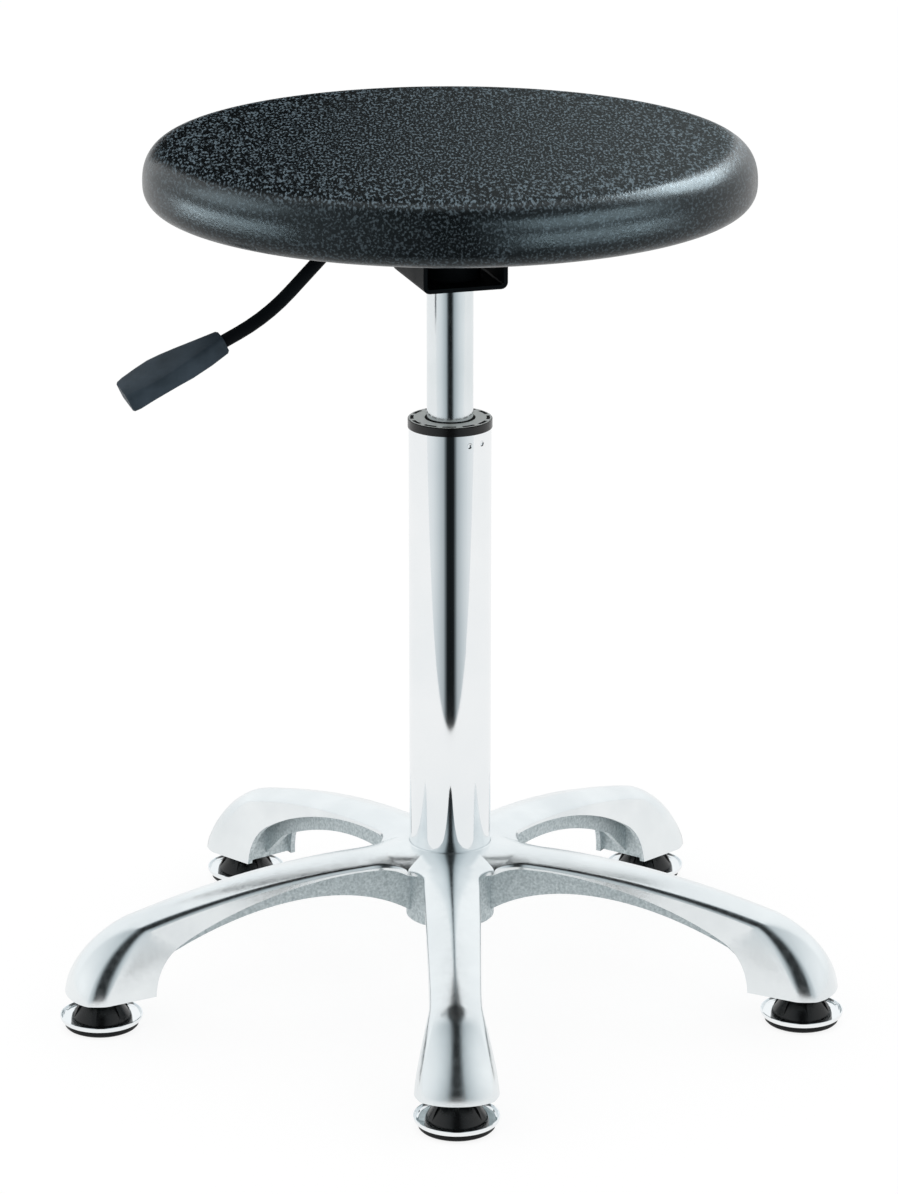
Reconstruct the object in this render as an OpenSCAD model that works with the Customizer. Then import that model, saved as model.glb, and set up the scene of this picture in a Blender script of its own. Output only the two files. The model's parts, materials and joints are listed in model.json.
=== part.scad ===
// Round stool with a foam cushion, gas lift, release lever and five-arm cast base on glides.
// Units are millimetres. The floor is z = 0, the column axis is x = y = 0, one arm points to -y.

/* [Node] */
// piece to draw, or all of them

/* [Seat cushion] */
// widest diameter of the cushion
seat_d = 362.8; // [350:0.2:390]
// height of the cushion from its underside to its crown
cushion_h = 38.3; // [37:0.1:46]
// how far the flat middle stands over the start of the rolled edge
crown_h = 0.7; // [0.3:0.1:1.5]
// radius of the flat middle of the crown
crown_flat_r = 70; // [60:1:90]
// reach of the rolled top edge, measured inward
top_roll = 24; // [20:0.5:28]
// height of the rolled top edge, down to the widest line
top_roll_h = 23.1; // [21:0.1:25]
// reach of the lower edge, measured inward
low_roll = 17.8; // [15:0.2:20]
// fullness of both rolled edges, where 2 is a plain ellipse
edge_fullness = 2.45; // [2.2:0.05:2.8]
// thickness of the cushion's dense skin
skin_t = 2; // [1.6:0.1:2.6]
// turn of the whole seat on the column, as it is drawn
seat_yaw = 16; // [0:1:30]

/* [Seat board and fixings] */
// diameter of the plywood board inside the cushion
board_d = 276; // [260:1:290]
// thickness of the board
board_t = 10; // [9:0.5:12]
// side of the square mount plate
plate_w = 150; // [145:1:160]
// thickness of the mount plate
plate_t = 3; // [2.5:0.1:4]
// corner radius of the mount plate
plate_corner = 8; // [4:0.5:12]
// distance between bolts, the same both ways
bolt_pitch = 120; // [114:1:124]
// diameter of the bolt shanks
bolt_d = 8; // [6:0.5:8]
// length of the bolt shanks under their heads
bolt_len = 16; // [15:0.5:17]
// width across the flats of the bolt heads
bolt_head_w = 13; // [11:0.5:14]
// height of the bolt heads
bolt_head_h = 5.3; // [4:0.1:6]
// outer diameter of the washers
washer_d = 16; // [15:0.5:18]
// thickness of the washers
washer_t = 1.6; // [1.2:0.1:2]
// flange diameter of the tee nuts
tee_flange_d = 20; // [18:0.5:24]
// flange thickness of the tee nuts
tee_flange_t = 1.5; // [1:0.1:2]
// barrel diameter of the tee nuts
tee_barrel_d = 10; // [9.5:0.1:12]

/* [Bracket] */
// width of the folded channel, across the lever
bracket_w = 52; // [50:0.5:60]
// length of the channel, along its open way
bracket_l = 63.5; // [58:0.5:80]
// height of the channel under the mount plate
bracket_h = 44; // [43:0.5:48]
// sheet thickness of the channel
bracket_t = 2.5; // [2:0.1:3]
// outer radius of the two lower folds
fold_r = 4; // [3.2:0.1:6]
// outer diameter of the welded socket tube
socket_tube_d = 36; // [34:0.5:38]
// length of the socket tube
socket_tube_len = 28; // [24:0.5:28]

/* [Release lever] */
// diameter of the lever rod
rod_d = 8; // [7:0.1:8.4]
// distance from the column axis to the lever pivot
pivot_out = 20; // [19.8:0.1:20.2]
// drop from the mount plate to the lever pivot
pivot_drop = 8; // [7.8:0.1:8.2]
// diameter of the pivot pin
pivot_pin_d = 4; // [3:0.1:4.4]
// straight run of the rod from the pivot to its first bend
rod_run_a = 29.6; // [28:0.2:40]
// radius of the first bend, on the centre line
bend_a_r = 30; // [20:1:36]
// angle of the first bend
bend_a = 45; // [40:1:50]
// straight run between the bends
rod_run_b = 38.9; // [30:0.5:45]
// radius of the second bend, on the centre line
bend_b_r = 120; // [80:5:140]
// slope of the rod after the second bend
end_slope = 26; // [20:1:32]
// length of the handle
handle_len = 66.8; // [62:0.2:80]
// width of the handle at its widest
handle_w = 29; // [24:0.5:32]
// thickness of the handle at its widest
handle_t = 13.8; // [13:0.2:16]
// roll of the handle about the rod, its upper face turned to the sitter's front
handle_roll = 12; // [0:1:20]
// diameter of the release pin of the valve
valve_pin_d = 6; // [5:0.1:6.4]

/* [Gas lift] */
// height of the top end of the gas cylinder, as it is drawn
column_top = 476; // [466:1:480]
// outer diameter of the gas cylinder
gas_d = 28; // [27:0.1:28.4]
// wall of the gas cylinder
gas_wall = 2; // [1.8:0.1:2.2]
// length of the gas cylinder
gas_len = 326; // [318:1:330]
// length of the tapered top end of the gas cylinder
gas_taper_len = 30; // [28.5:0.1:31]
// how much smaller the top end is in radius
gas_taper_drop = 1.4; // [1:0.1:1.6]
// outer diameter of the outer tube
tube_d = 50; // [49:0.1:50.6]
// wall of the outer tube
tube_wall = 1.5; // [1.2:0.1:1.8]
// height of the top end of the outer tube over the floor
tube_top = 357.9; // [350:0.1:362]
// how much smaller the lower end of the outer tube is in radius
tube_taper_drop = 1.2; // [0.8:0.1:1.4]
// outer diameter of the collar on the tube
collar_d = 51; // [50.8:0.1:54]
// height of the collar over the tube
collar_h = 5.5; // [4:0.1:7]
// number of keys that carry the guide bush's rim, with a slot between each two
collar_keys = 12; // [8:1:16]
// width of a key
key_w = 4; // [2:0.1:6]
// depth of a key, which is the width of the slots
key_depth = 1.2; // [0.8:0.1:2]
// thickness of the guide bush's rim, which lies on the collar
rim_t = 0.9; // [0.7:0.1:1.5]
// length of the guide bush inside the tube
bush_len = 96; // [80:1:110]
// diameter of the piston rod
piston_rod_d = 10; // [9:0.1:10.4]
// outer diameter of the inner pressure tube
pressure_d = 21.6; // [21:0.1:22.2]
// number of balls in the thrust bearing
ball_count = 12; // [8:1:13]
// diameter of the balls
ball_d = 4; // [3.6:0.1:4.2]
// pitch radius of the balls
ball_pitch_r = 10; // [9.6:0.1:10.6]

/* [Star base] */
// distance from the column axis to the tip of an arm
toe_reach = 245.3; // [240:0.1:256]
// height of the underside of the feet, which rest on the glides
foot_base = 22; // [21:0.1:23]
// height of the top of the hub
hub_top = 93.8; // [90:0.1:98]
// height of the lower end of the hub
hub_low = 45; // [43.5:0.1:46.5]
// outer radius of the hub skirt
hub_r = 27.1; // [26.8:0.1:28.5]
// width of an arm along its run
arm_w = 33; // [31:0.2:36]
// width of an arm at its neck, where the foot starts to flare
neck_w = 30; // [28:0.2:33]
// width of the foot at the toe
toe_w = 50.6; // [46:0.2:54]
// radius of the rounded crotch between two arms
crotch_r = 22.9; // [20:0.1:26]
// casting skin of the arms
skin = 3.2; // [2.8:0.1:3.6]
// thickness of the arms' side walls
side_wall = 3.4; // [3:0.1:3.8]
// drop from the middle of an arm to its shoulders
shoulder_drop = 3.5; // [2:0.1:4]
// radius of the shoulders
shoulder_r = 3; // [2:0.1:4]
// thickness of the rib under each arm
rib_t = 4; // [3:0.1:6]
// outer diameter of the boss round each glide stem
boss_d = 19; // [17:0.2:20]

/* [Glides] */
// distance from the tip of an arm to the axis of its glide
glide_inset = 21.3; // [20:0.1:23]
// diameter of the glide stem
stem_d = 11; // [10:0.1:11.4]
// length of the stem inside the foot
stem_len = 21.6; // [19:0.1:22]
// lower diameter of the floor pad
pad_low_d = 37.6; // [34:0.2:40]
// widest diameter of the floor pad
pad_d = 44.6; // [42:0.2:46]
// height of the rounded lower edge of the floor pad
pad_round = 1.8; // [1:0.1:2.2]
// height of the floor pad
pad_h = 4.2; // [3.5:0.1:4.5]
// outer diameter of the plated dish
dish_d = 50.6; // [48:0.2:54]
// height of the plated dish
dish_h = 4; // [3:0.1:4.2]
// sheet thickness of the dish
dish_t = 1; // [0.8:0.1:1.2]
// lower diameter of the ribbed cone
cone_low_d = 37; // [34:0.2:39]
// upper diameter of the ribbed cone
cone_top_d = 21; // [19:0.2:23]
// number of ribs on the cone
cone_ribs = 6; // [5:1:12]
// thickness of a rib
cone_rib_t = 2.4; // [1.6:0.2:3]

/* [Fits] */
// radial clearance of a sliding or turning fit
slide_fit = 0.05; // [0.03:0.01:0.08]
// radial clearance between tapers and between pressed pieces
press_fit = 0.03; // [0.01:0.01:0.04]
// clearance round a piece that hangs free
free_fit = 0.3; // [0.2:0.05:0.4]

/* [Hidden] */
$fn = 96;
arms = 5;
// heights of the seat stack
plate_z = column_top - socket_tube_len + bracket_h;
bracket_z = column_top - socket_tube_len;
board_z = plate_z + plate_t;
board_top = board_z + board_t;
seat_top = board_z + cushion_h;
wide_z = seat_top - crown_h - top_roll_h;
seat_r = seat_d / 2;
bolt_at = bolt_pitch / 2;
// lever
pivot_z = plate_z - pivot_drop;
rod_r = rod_d / 2;
rod_in = 5;
pin_top = pivot_z - rod_r - free_fit;
path_a = [pivot_out + rod_run_a, pivot_z];
path_b = path_a + bend_a_r * [sin(bend_a), cos(bend_a) - 1];
path_c = path_b + rod_run_b * [cos(bend_a), -sin(bend_a)];
path_d = path_c + bend_b_r * [sin(bend_a) - sin(end_slope), cos(bend_a) - cos(end_slope)];
handle_gap = 9.6;
handle_hold = 34;
// gas lift
gas_low = column_top - gas_len;
gas_r = gas_d / 2;
gas_bore = gas_r - gas_wall;
tube_r = tube_d / 2;
tube_low = hub_low - 1;
tube_bore = tube_r - tube_wall;
lip_h = 2;
end_plate_t = 3;
race_t = 1.5;
end_plate_z = tube_low + lip_h;
race_low_z = end_plate_z + end_plate_t;
ball_z = race_low_z + race_t + ball_d / 2 + 0.02;
race_top_z = ball_z + ball_d / 2 + 0.02;
shoulder_z = race_top_z + race_t;
bumper_h = 14;
prod_r = piston_rod_d / 2;
neck_r = prod_r - 1;
pressure_r = pressure_d / 2;
pressure_bore = pressure_r - 1.2;
guide_z = gas_low + 3;
guide_h = 12;
seal_h = 4;
valve_z = column_top - 24;
valve_top = column_top - 2;
piston_z = 240;
piston_h = 12;
collar_r = collar_d / 2;
key_in = tube_bore - key_depth;
key_turn = 13;
collar_top = tube_top + collar_h;
rim_r = collar_r - 0.6;
// star base
hub_ring_r = 26;
hub_h = hub_top - foot_base;
half_w = arm_w / 2;
neck_h = neck_w / 2;
sector = 360 / arms;
crotch_c = (half_w + 0.5 + crotch_r) / sin(sector / 2);
crotch_in = crotch_c - crotch_r;
tangent_x = crotch_c * cos(sector / 2);
tangent_y = crotch_c * sin(sector / 2) - crotch_r;
tangent_r = norm([tangent_x, tangent_y]);
glide_r = toe_reach - glide_inset;
boss_r = boss_d / 2;
socket_r = stem_d / 2 + slide_fit * 2;
socket_len = stem_len + 0.6;
// glide
rivet_r = 6;
rivet_h = 1;
dish_z = pad_h;
cone_z = pad_h + dish_t;
cone_top_z = foot_base - 0.1;
stem_low_r = 4;

function rr(share) = share * toe_reach;
function zz(share) = foot_base + share * hub_h;
function bez(p, t) =
  p[0] * pow(1 - t, 3) + 3 * p[1] * t * pow(1 - t, 2) + 3 * p[2] * t * t * (1 - t) + p[3] * pow(t, 3);
function bez_d(p, t) =
  3 * (p[1] - p[0]) * pow(1 - t, 2) + 6 * (p[2] - p[1]) * t * (1 - t) + 3 * (p[3] - p[2]) * t * t;
function mix(a, b, t) = a + (b - a) * t;
function arc2(cx, cy, r, a0, a1, n) = [for (i = [0:n]) [cx + r * cos(mix(a0, a1, i / n)),
  cy + r * sin(mix(a0, a1, i / n))]];
function round_rect(w, h, r, n) = concat(
  arc2(w / 2 - r, h / 2 - r, r, 0, 90, n),
  arc2(r - w / 2, h / 2 - r, r, 90, 180, n),
  arc2(r - w / 2, r - h / 2, r, 180, 270, n),
  arc2(w / 2 - r, r - h / 2, r, 270, 360, n));

// Rails of one arm as [distance from the axis, height, half width].
// The shares are of the arm's reach and of the height from the feet to the hub top.
ridge_top = zz(0.976);
crown_arm = [[tangent_r, ridge_top, 0], [rr(0.428), zz(0.958), 0], [rr(0.632), zz(0.845), 0],
  [rr(0.828), zz(0.645), 0]];
crown_foot = [[rr(0.828), zz(0.645), 0], [rr(0.905), zz(0.564), 0], [rr(0.991), zz(0.334), 0],
  [rr(1), foot_base, 0]];
edge_arm = [[tangent_x, ridge_top - shoulder_drop, tangent_y],
  [rr(0.416), zz(0.962) - shoulder_drop, half_w + 0.5],
  [rr(0.616), zz(0.85) - shoulder_drop, neck_h + 0.6],
  [rr(0.811), zz(0.642) - shoulder_drop, neck_h]];
edge_foot = [edge_arm[3],
  edge_arm[3] + [rr(0.045), -zz(0.047) + foot_base, 2],
  [rr(0.924), zz(0.195), toe_w / 2 - 0.7],
  [rr(0.934), foot_base, toe_w / 2]];
wall_arm = [[tangent_x, ridge_top - shoulder_drop - skin, tangent_y],
  [rr(0.387), zz(0.898), half_w + 0.5],
  [rr(0.591), zz(0.696), neck_h + 0.7],
  [rr(0.726), zz(0.411), neck_h + 0.2]];
wall_foot = [wall_arm[3],
  [rr(0.763), zz(0.332), neck_h + 1.4],
  [rr(0.789), zz(0.195), neck_h + 3],
  [rr(0.792), foot_base, neck_h + 3.8]];
// how rounded the ridge of an arm is, by distance from the axis
function ridge_round(r) = lookup(r, [[25, 14], [48, 8.2], [60, 6.2], [80, 4.8], [102, 3.1], [130, 2.2],
  [170, 2], [203, 3], [246, 8]]);
// share of the drop from the ridge to the shoulder: a roof with a rounded ridge
function roof(a, k) = (sqrt(a * a + k * k) - k) / (sqrt(1 + k * k) - k);

// Stations run along an arm: the web by the hub, the crotch, the arm and the foot.
i_web = 3;
i_crotch = 7;
i_arm = 17;
i_end = 25;
web_r = [hub_ring_r, mix(hub_ring_r, crotch_in, 0.45), crotch_in - 2, crotch_in];

function edge_xy(i) = i <= i_web
  ? web_r[i] * [cos(sector / 2), sin(sector / 2)]
  : let (a = mix(180 + sector / 2, 270, (i - i_web) / (i_crotch - i_web)))
    crotch_c * [cos(sector / 2), sin(sector / 2)] + crotch_r * [cos(a), sin(a)];
function ridge_z(r) = mix(hub_top - 0.3, ridge_top, (r - hub_ring_r) / (tangent_r - hub_ring_r));
function web_drop(i, w, r) = shoulder_drop * pow(w / tangent_y, 1.2) * min(1,
  max(0, (r - hub_ring_r) / (crotch_in - hub_ring_r)));

// a station: [crown, edge, wall bottom, outward direction in the upright plane, depth exponent,
// shoulder radius]
function station(i) =
  i <= i_crotch
    ? let (e = edge_xy(i), r = norm(e), zr = ridge_z(r), ze = zr - web_drop(i, e[1], r))
      [[r, zr, 0], [e[0], ze, e[1]], [e[0], ze - skin, e[1]], [0.03, 1], 1,
      i < i_web ? 0.8 : mix(1.5, shoulder_r * 0.8, (i - i_web) / 4)]
    : i <= i_arm
      ? let (t = (i - i_crotch) / (i_arm - i_crotch), d = bez_d(crown_arm, t), n = norm([d[0], d[1]]))
        [bez(crown_arm, t), bez(edge_arm, t), bez(wall_arm, t), [-d[1] / n, d[0] / n], 1 + 0.2 * t,
          mix(shoulder_r * 0.8, shoulder_r, min(1, 3 * t))]
      : let (t = (i - i_arm) / (i_end - i_arm), d = bez_d(crown_foot, t), n = norm([d[0], d[1]]))
        [bez(crown_foot, t), bez(edge_foot, t), bez(wall_foot, t), [-d[1] / n, d[0] / n * (1 - t * t)],
        1.2 + 0.8 * t,
          mix(shoulder_r, shoulder_r * 1.3, t)];

// a point of the crown at the share s of the half width
function crown_pt(st, k, s) =
  let (ip = 1 / st[4], fr = pow(max(0, 1 - s * s), ip), fz = pow(max(0, 1 - roof(s, k)), ip))
  [mix(st[1][0], st[0][0], fr), st[1][2] * s, mix(st[1][1], st[0][1], fz)];
function to3(v, side) = [v[0], side * v[2], v[1]];
function corner(st, p, side, t, drop) =
  let (k = to3(st[1], side), b = to3(st[2], side), low = k + (b - k) * min(0.6, drop / norm(b - k)))
  p * pow(1 - t, 2) + 2 * k * t * (1 - t) + low * t * t;
function inner_pt(st, k, s) =
  let (q = crown_pt(st, k, sign(s) * min(abs(s), 1 - (side_wall + 1) / st[1][2])))
  [q[0] - skin * st[3][0], q[1], q[2] - skin * st[3][1]];

// the closed section of one station as 26 points
function section(i) =
  let (st = station(i), w = st[1][2], s0 = 1 - st[5] / w, k = ridge_round(st[0][0]) / w,
    up = [s0, 0.72 * s0, 0.46 * s0, 0.26 * s0, 0.12 * s0],
    web = i < i_web,
    bl = to3(st[2], -1), br = to3(st[2], 1),
    pl = crown_pt(st, k, -s0), pr = crown_pt(st, k, s0),
    wb = st[2][2] - side_wall,
    bow = i <= i_crotch ? (st[0][0] - st[1][0]) * (1 - pow(wb / w, 2)) : 0)
  concat(
    [bl],
    [for (t = [1, 0.66, 0.33]) web ? crown_pt(st, k, -mix(s0, 1, t)) : corner(st, pl, -1, t, st[5])],
    [for (s = up) crown_pt(st, k, -s)],
    [crown_pt(st, k, 0)],
    [for (n = [4:-1:0]) crown_pt(st, k, up[n])],
    [for (t = [0.33, 0.66, 1]) web ? crown_pt(st, k, mix(s0, 1, t)) : corner(st, pr, 1, t, st[5])],
    [br, [br[0] + bow, wb, br[2]]],
    [for (s = [0.97, 0.45, 0, -0.45, -0.97]) inner_pt(st, k, s)],
    [[bl[0] + bow, -wb, bl[2]]]);

function turned(p, a) = [p[0] * cos(a) - p[1] * sin(a), p[0] * sin(a) + p[1] * cos(a), p[2]];
function vid0(k, i, j) = ((k % arms) * (i_end + 1) + i) * 26 + j;
function vid(k, i, j) = i <= i_web && j == 17 ? vid0(k + 1, i, 1) : i <= i_web && j == 18 ? vid0(k + 1,
  i, 0) : vid0(k, i, j % 26);
function quad(a, b, c, d, flip) = flip ? [[a, b, d], [b, c, d]] : [[a, b, c], [a, c, d]];

module arm_shell() {
  rings = [for (i = [0:i_end]) section(i)];
  pts = [for (k = [0:arms - 1]) for (i = [0:i_end]) for (p = rings[i]) turned(p, sector * k - 90)];
  sides = [for (k = [0:arms - 1]) for (i = [0:i_end - 1]) for (j = [0:25])
    if (!(i < i_web && (j == 0 || j == 17)))
      for (f = quad(vid(k, i, j), vid(k, i, j + 1), vid(k, i + 1, j + 1), vid(k, i + 1, j), j < 9)) f];
  tip = [25, 24, 23, 22, 21, 20, 19];
  ends = [for (k = [0:arms - 1]) for (b = [0:5]) for (f = [[3 * b, 3 * b + 1, tip[b]],
    [3 * b + 1, tip[b + 1], tip[b]],
    [3 * b + 1, 3 * b + 2, tip[b + 1]], [3 * b + 2, 3 * b + 3, tip[b + 1]]]) [for (j = f) vid(k, i_end,
    j)]];
  low = [0, 25, 24, 23, 22, 21, 20, 19, 18];
  inner = [for (k = [0:arms - 1]) for (b = [0:7]) for (f = [
    [vid(k, 0, 2 * b + 2), vid(k, 0, 2 * b + 1), vid(k, 0, low[b])],
    [vid(k, 0, low[b]), vid(k, 0, low[b + 1]), vid(k, 0, 2 * b + 2)],
    [vid(k, 0, 2 * b + 3), vid(k, 0, 2 * b + 2), vid(k, 0, low[b + 1])]]) f];
  polyhedron(points = pts, faces = concat(sides, ends, inner), convexity = 8);
}

function tube_at(z) = tube_r - tube_taper_drop * max(0,
  min(1, (hub_top + 0.2 - z) / (hub_top + 0.2 - tube_low)));
function bore_at(z) = tube_at(z) + press_fit;

module hub() {
  rotate_extrude()
    polygon([[bore_at(hub_low), hub_low], [hub_r - 0.6, hub_low], [hub_r, hub_low + 0.6],
      [hub_r, hub_top - 10],
      [hub_r - 0.7, hub_top - 0.4], [hub_r - 1.1, hub_top], [bore_at(hub_top) + 0.3, hub_top],
      [bore_at(hub_top - 0.4), hub_top - 0.4]]);
}

rib_in = hub_ring_r - 0.4;
rib_low = [[rib_in, zz(0.39)], [rr(0.253), zz(0.738)], [rr(0.489), zz(0.696)], [rr(0.726), zz(0.292)]];
boss_top = foot_base + socket_len + 3;
module arm_ribs() {
  over = [for (n = [0:10]) let (t = n / 10, p = bez(crown_arm, t), d = bez_d(crown_arm, t),
    m = norm([d[0], d[1]]))
    [p[0] + skin / 2 * d[1] / m, p[1] - skin / 2 * d[0] / m]];
  past = [for (n = [1:6]) let (t = n / 10, p = bez(crown_foot, t), d = bez_d(crown_foot, t),
    m = norm([d[0], d[1]]))
    [p[0] + skin / 2 * d[1] / m, p[1] - skin / 2 * d[0] / m]];
  under = [for (n = [12:-1:0]) bez(rib_low, n / 12)];
  edge = concat([[rib_in, hub_top - 2.2]], over, past,
    [[glide_r + boss_r - 1.2, boss_top - 1], [glide_r - boss_r + 2.5, boss_top - 1],
    [glide_r - boss_r + 2.5, foot_base + 2],
      [rr(0.811), foot_base + 2]], under);
  translate([0, rib_t / 2, 0])
    rotate([90, 0, 0])
      linear_extrude(height = rib_t)
        polygon(edge);
  translate([rr(0.807), 1 - wall_foot[3][2], foot_base + 0.5])
    cube([3.5, 2 * wall_foot[3][2] - 2, 19.5]);
  translate([glide_r, 0, foot_base])
    difference() {
      cylinder(r = boss_r, h = boss_top - foot_base);
      translate([0, 0, -1])
        cylinder(r = socket_r, h = socket_len + 1);
    }
}

module star_base() {
  color([0.78, 0.79, 0.8])
    union() {
      arm_shell();
      hub();
      for (k = [0:arms - 1])
        rotate([0, 0, sector * k - 90])
          arm_ribs();
    }
}

module ring(r0, r1, z0, z1) {
  rotate_extrude()
    polygon([[r0, z0], [r1, z0], [r1, z1], [r0, z1]]);
}

module outer_tube() {
  color([0.82, 0.83, 0.85])
    difference() {
      rotate_extrude()
        polygon([[18, tube_low], [tube_at(tube_low), tube_low], [tube_at(hub_top + 0.2), hub_top + 0.2],
          [tube_r, tube_top],
          [tube_bore, tube_top], [tube_bore, hub_top + 0.2],
          [tube_at(end_plate_z) - tube_wall, end_plate_z], [18, end_plate_z]]);
      for (a = [-63, -41.5])
        rotate([0, 0, a])
          translate([tube_r + 0.9, 0, tube_top - 6.4])
            sphere(r = 2);
    }
}

module tube_collar() {
  color([0.07, 0.07, 0.08])
    rotate_extrude()
      polygon([[tube_bore, tube_top], [collar_r, tube_top], [collar_r, collar_top - 0.5],
        [collar_r - 0.4, collar_top - 0.1], [rim_r, collar_top - 0.1], [rim_r, collar_top - rim_t],
        [tube_bore, collar_top - rim_t]]);
}

module guide_bush() {
  mid_z = tube_top - bush_len / 2;
  color([0.72, 0.74, 0.72])
    difference() {
      union() {
        ring(gas_r + slide_fit, tube_bore - press_fit, tube_top - bush_len, tube_top);
        translate([0, 0, tube_top - 0.5])
          cylinder(r = key_in, h = collar_top - tube_top + 0.5);
        ring(tube_bore, rim_r - press_fit, collar_top - rim_t, collar_top);
        intersection() {
          ring(key_in - 0.5, tube_bore + 0.2, collar_top - rim_t, collar_top);
          for (k = [0:collar_keys - 1])
            rotate([0, 0, 360 * k / collar_keys + key_turn])
              translate([key_in - 1, -key_w / 2, tube_top - 1])
                cube([key_depth + 2, key_w, collar_h + 2]);
        }
      }
      cylinder(r = gas_r + slide_fit, h = collar_top + 5);
      translate([0, 0, mid_z - bush_len * 0.3])
        cylinder(r = gas_r + 1.2, h = bush_len * 0.6);
    }
}

module bottom_plate() {
  color([0.6, 0.61, 0.63])
    ring(neck_r + free_fit, tube_at(tube_low) - tube_wall - press_fit, end_plate_z, race_low_z);
}

module bearing_lower_race() {
  color([0.66, 0.67, 0.69])
    ring(neck_r + free_fit, 13.5, race_low_z, race_low_z + race_t);
}

module bearing_upper_race() {
  color([0.66, 0.67, 0.69])
    ring(neck_r + press_fit, 13.5, race_top_z, shoulder_z);
}

module bearing_balls() {
  color([0.75, 0.76, 0.78])
    for (k = [0:ball_count - 1])
      rotate([0, 0, 360 / ball_count * k])
        translate([ball_pitch_r, 0, ball_z])
          sphere(r = ball_d / 2, $fn = 24);
}

module bearing_cage() {
  color([0.72, 0.6, 0.32])
    difference() {
      ring(ball_pitch_r - 3, ball_pitch_r + 3, ball_z - 0.9, ball_z + 0.9);
      for (k = [0:ball_count - 1])
        rotate([0, 0, 360 / ball_count * k])
          translate([ball_pitch_r, 0, ball_z - 2])
            cylinder(r = ball_d / 2 + slide_fit, h = 4, $fn = 24);
    }
}

module piston_rod() {
  color([0.8, 0.81, 0.83])
    rotate_extrude()
      polygon([[0, tube_low - 3], [neck_r - 0.5, tube_low - 3], [neck_r, tube_low - 2.5],
        [neck_r, tube_low - 1],
        [neck_r - 0.6, tube_low - 1], [neck_r - 0.6, tube_low + 0.5], [neck_r, tube_low + 0.5],
        [neck_r, shoulder_z], [prod_r, shoulder_z],
        [prod_r, piston_z], [3, piston_z], [3, piston_z + piston_h], [4.4, piston_z + piston_h],
        [4, piston_z + piston_h + 2],
        [0, piston_z + piston_h + 2]]);
}

module rod_clip() {
  color([0.3, 0.3, 0.32])
    difference() {
      ring(neck_r - 0.6 + press_fit, 7.5, tube_low - 1, tube_low + 0.5);
      translate([0, -1.5, tube_low - 2])
        cube([12, 3, 4]);
    }
}

module rod_washer() {
  color([0.62, 0.63, 0.65])
    ring(neck_r + press_fit, 9, tube_low + 0.5, end_plate_z - 0.1);
}

module bumper() {
  color([0.09, 0.09, 0.09])
    rotate_extrude()
      polygon([[prod_r + press_fit, shoulder_z], [12.4, shoulder_z], [13, shoulder_z + 1.5],
        [11.6, shoulder_z + bumper_h / 2],
        [12.6, shoulder_z + bumper_h - 1.5], [11.6, shoulder_z + bumper_h],
        [prod_r + press_fit, shoulder_z + bumper_h]]);
}

module piston() {
  r = pressure_bore - slide_fit;
  color([0.7, 0.58, 0.3])
    rotate_extrude()
      polygon([[3 + press_fit, piston_z], [r, piston_z], [r, piston_z + 4.5], [r - 1.6, piston_z + 4.5],
        [r - 1.6, piston_z + 7.5],
        [r, piston_z + 7.5], [r, piston_z + piston_h], [3 + press_fit, piston_z + piston_h]]);
}

module piston_seal() {
  color([0.08, 0.08, 0.08])
    ring(pressure_bore - slide_fit - 1.6, pressure_bore - slide_fit / 2, piston_z + 4.6, piston_z + 7.4);
}

module gas_cylinder() {
  taper_z = column_top - gas_taper_len;
  top_r = gas_r - gas_taper_drop;
  color([0.85, 0.86, 0.88])
    rotate_extrude()
      polygon([[gas_bore - 1.6, gas_low + 0.5], [gas_bore, gas_low], [gas_r - 0.8, gas_low],
        [gas_r, gas_low + 0.8], [gas_r, taper_z],
        [top_r, column_top], [valve_pin_d / 2 + 0.6, column_top], [valve_pin_d / 2 + 0.6, valve_top],
        [top_r - gas_wall, valve_top], [gas_bore - 0.4, valve_z], [gas_bore, valve_z - 4],
        [gas_bore, guide_z], [gas_bore - 1.6, guide_z]]);
}

module pressure_tube() {
  color([0.6, 0.6, 0.62])
    ring(pressure_bore, pressure_r, guide_z + guide_h + seal_h, valve_z);
}

module rod_guide() {
  color([0.75, 0.72, 0.62])
    ring(prod_r + slide_fit, gas_bore - press_fit, guide_z, guide_z + guide_h);
}

module rod_seal() {
  color([0.08, 0.08, 0.09])
    ring(prod_r + slide_fit, gas_bore - press_fit, guide_z + guide_h, guide_z + guide_h + seal_h);
}

module valve_body() {
  pin = valve_pin_d / 2 + slide_fit;
  color([0.7, 0.58, 0.3])
    rotate_extrude()
      polygon([[pin, valve_z], [gas_bore - 0.4 - press_fit * 2, valve_z],
        [gas_r - gas_taper_drop - gas_wall - press_fit * 2, valve_top],
        [pin, valve_top]]);
}

module release_pin() {
  color([0.8, 0.8, 0.78])
    rotate_extrude()
      polygon(concat([[0, valve_z + 6], [valve_pin_d / 2, valve_z + 6]],
        [for (n = [0:6]) let (a = 90 * n / 6) [valve_pin_d / 2 * cos(a), pin_top - 1.2 + 1.2 * sin(a)]]));
}

module seat_frame() {
  rotate([0, 0, seat_yaw])
    children();
}

module lever_frame() {
  rotate([0, 0, seat_yaw + 180])
    children();
}

module taper_socket() {
  taper_z = column_top - gas_taper_len;
  top_r = gas_r - gas_taper_drop;
  in_low = mix(gas_r, top_r, (bracket_z - taper_z) / gas_taper_len) + press_fit;
  color([0.06, 0.06, 0.07])
    rotate_extrude()
      polygon([[in_low, bracket_z], [socket_tube_d / 2, bracket_z], [socket_tube_d / 2, column_top],
        [top_r + press_fit, column_top]]);
}

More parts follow.
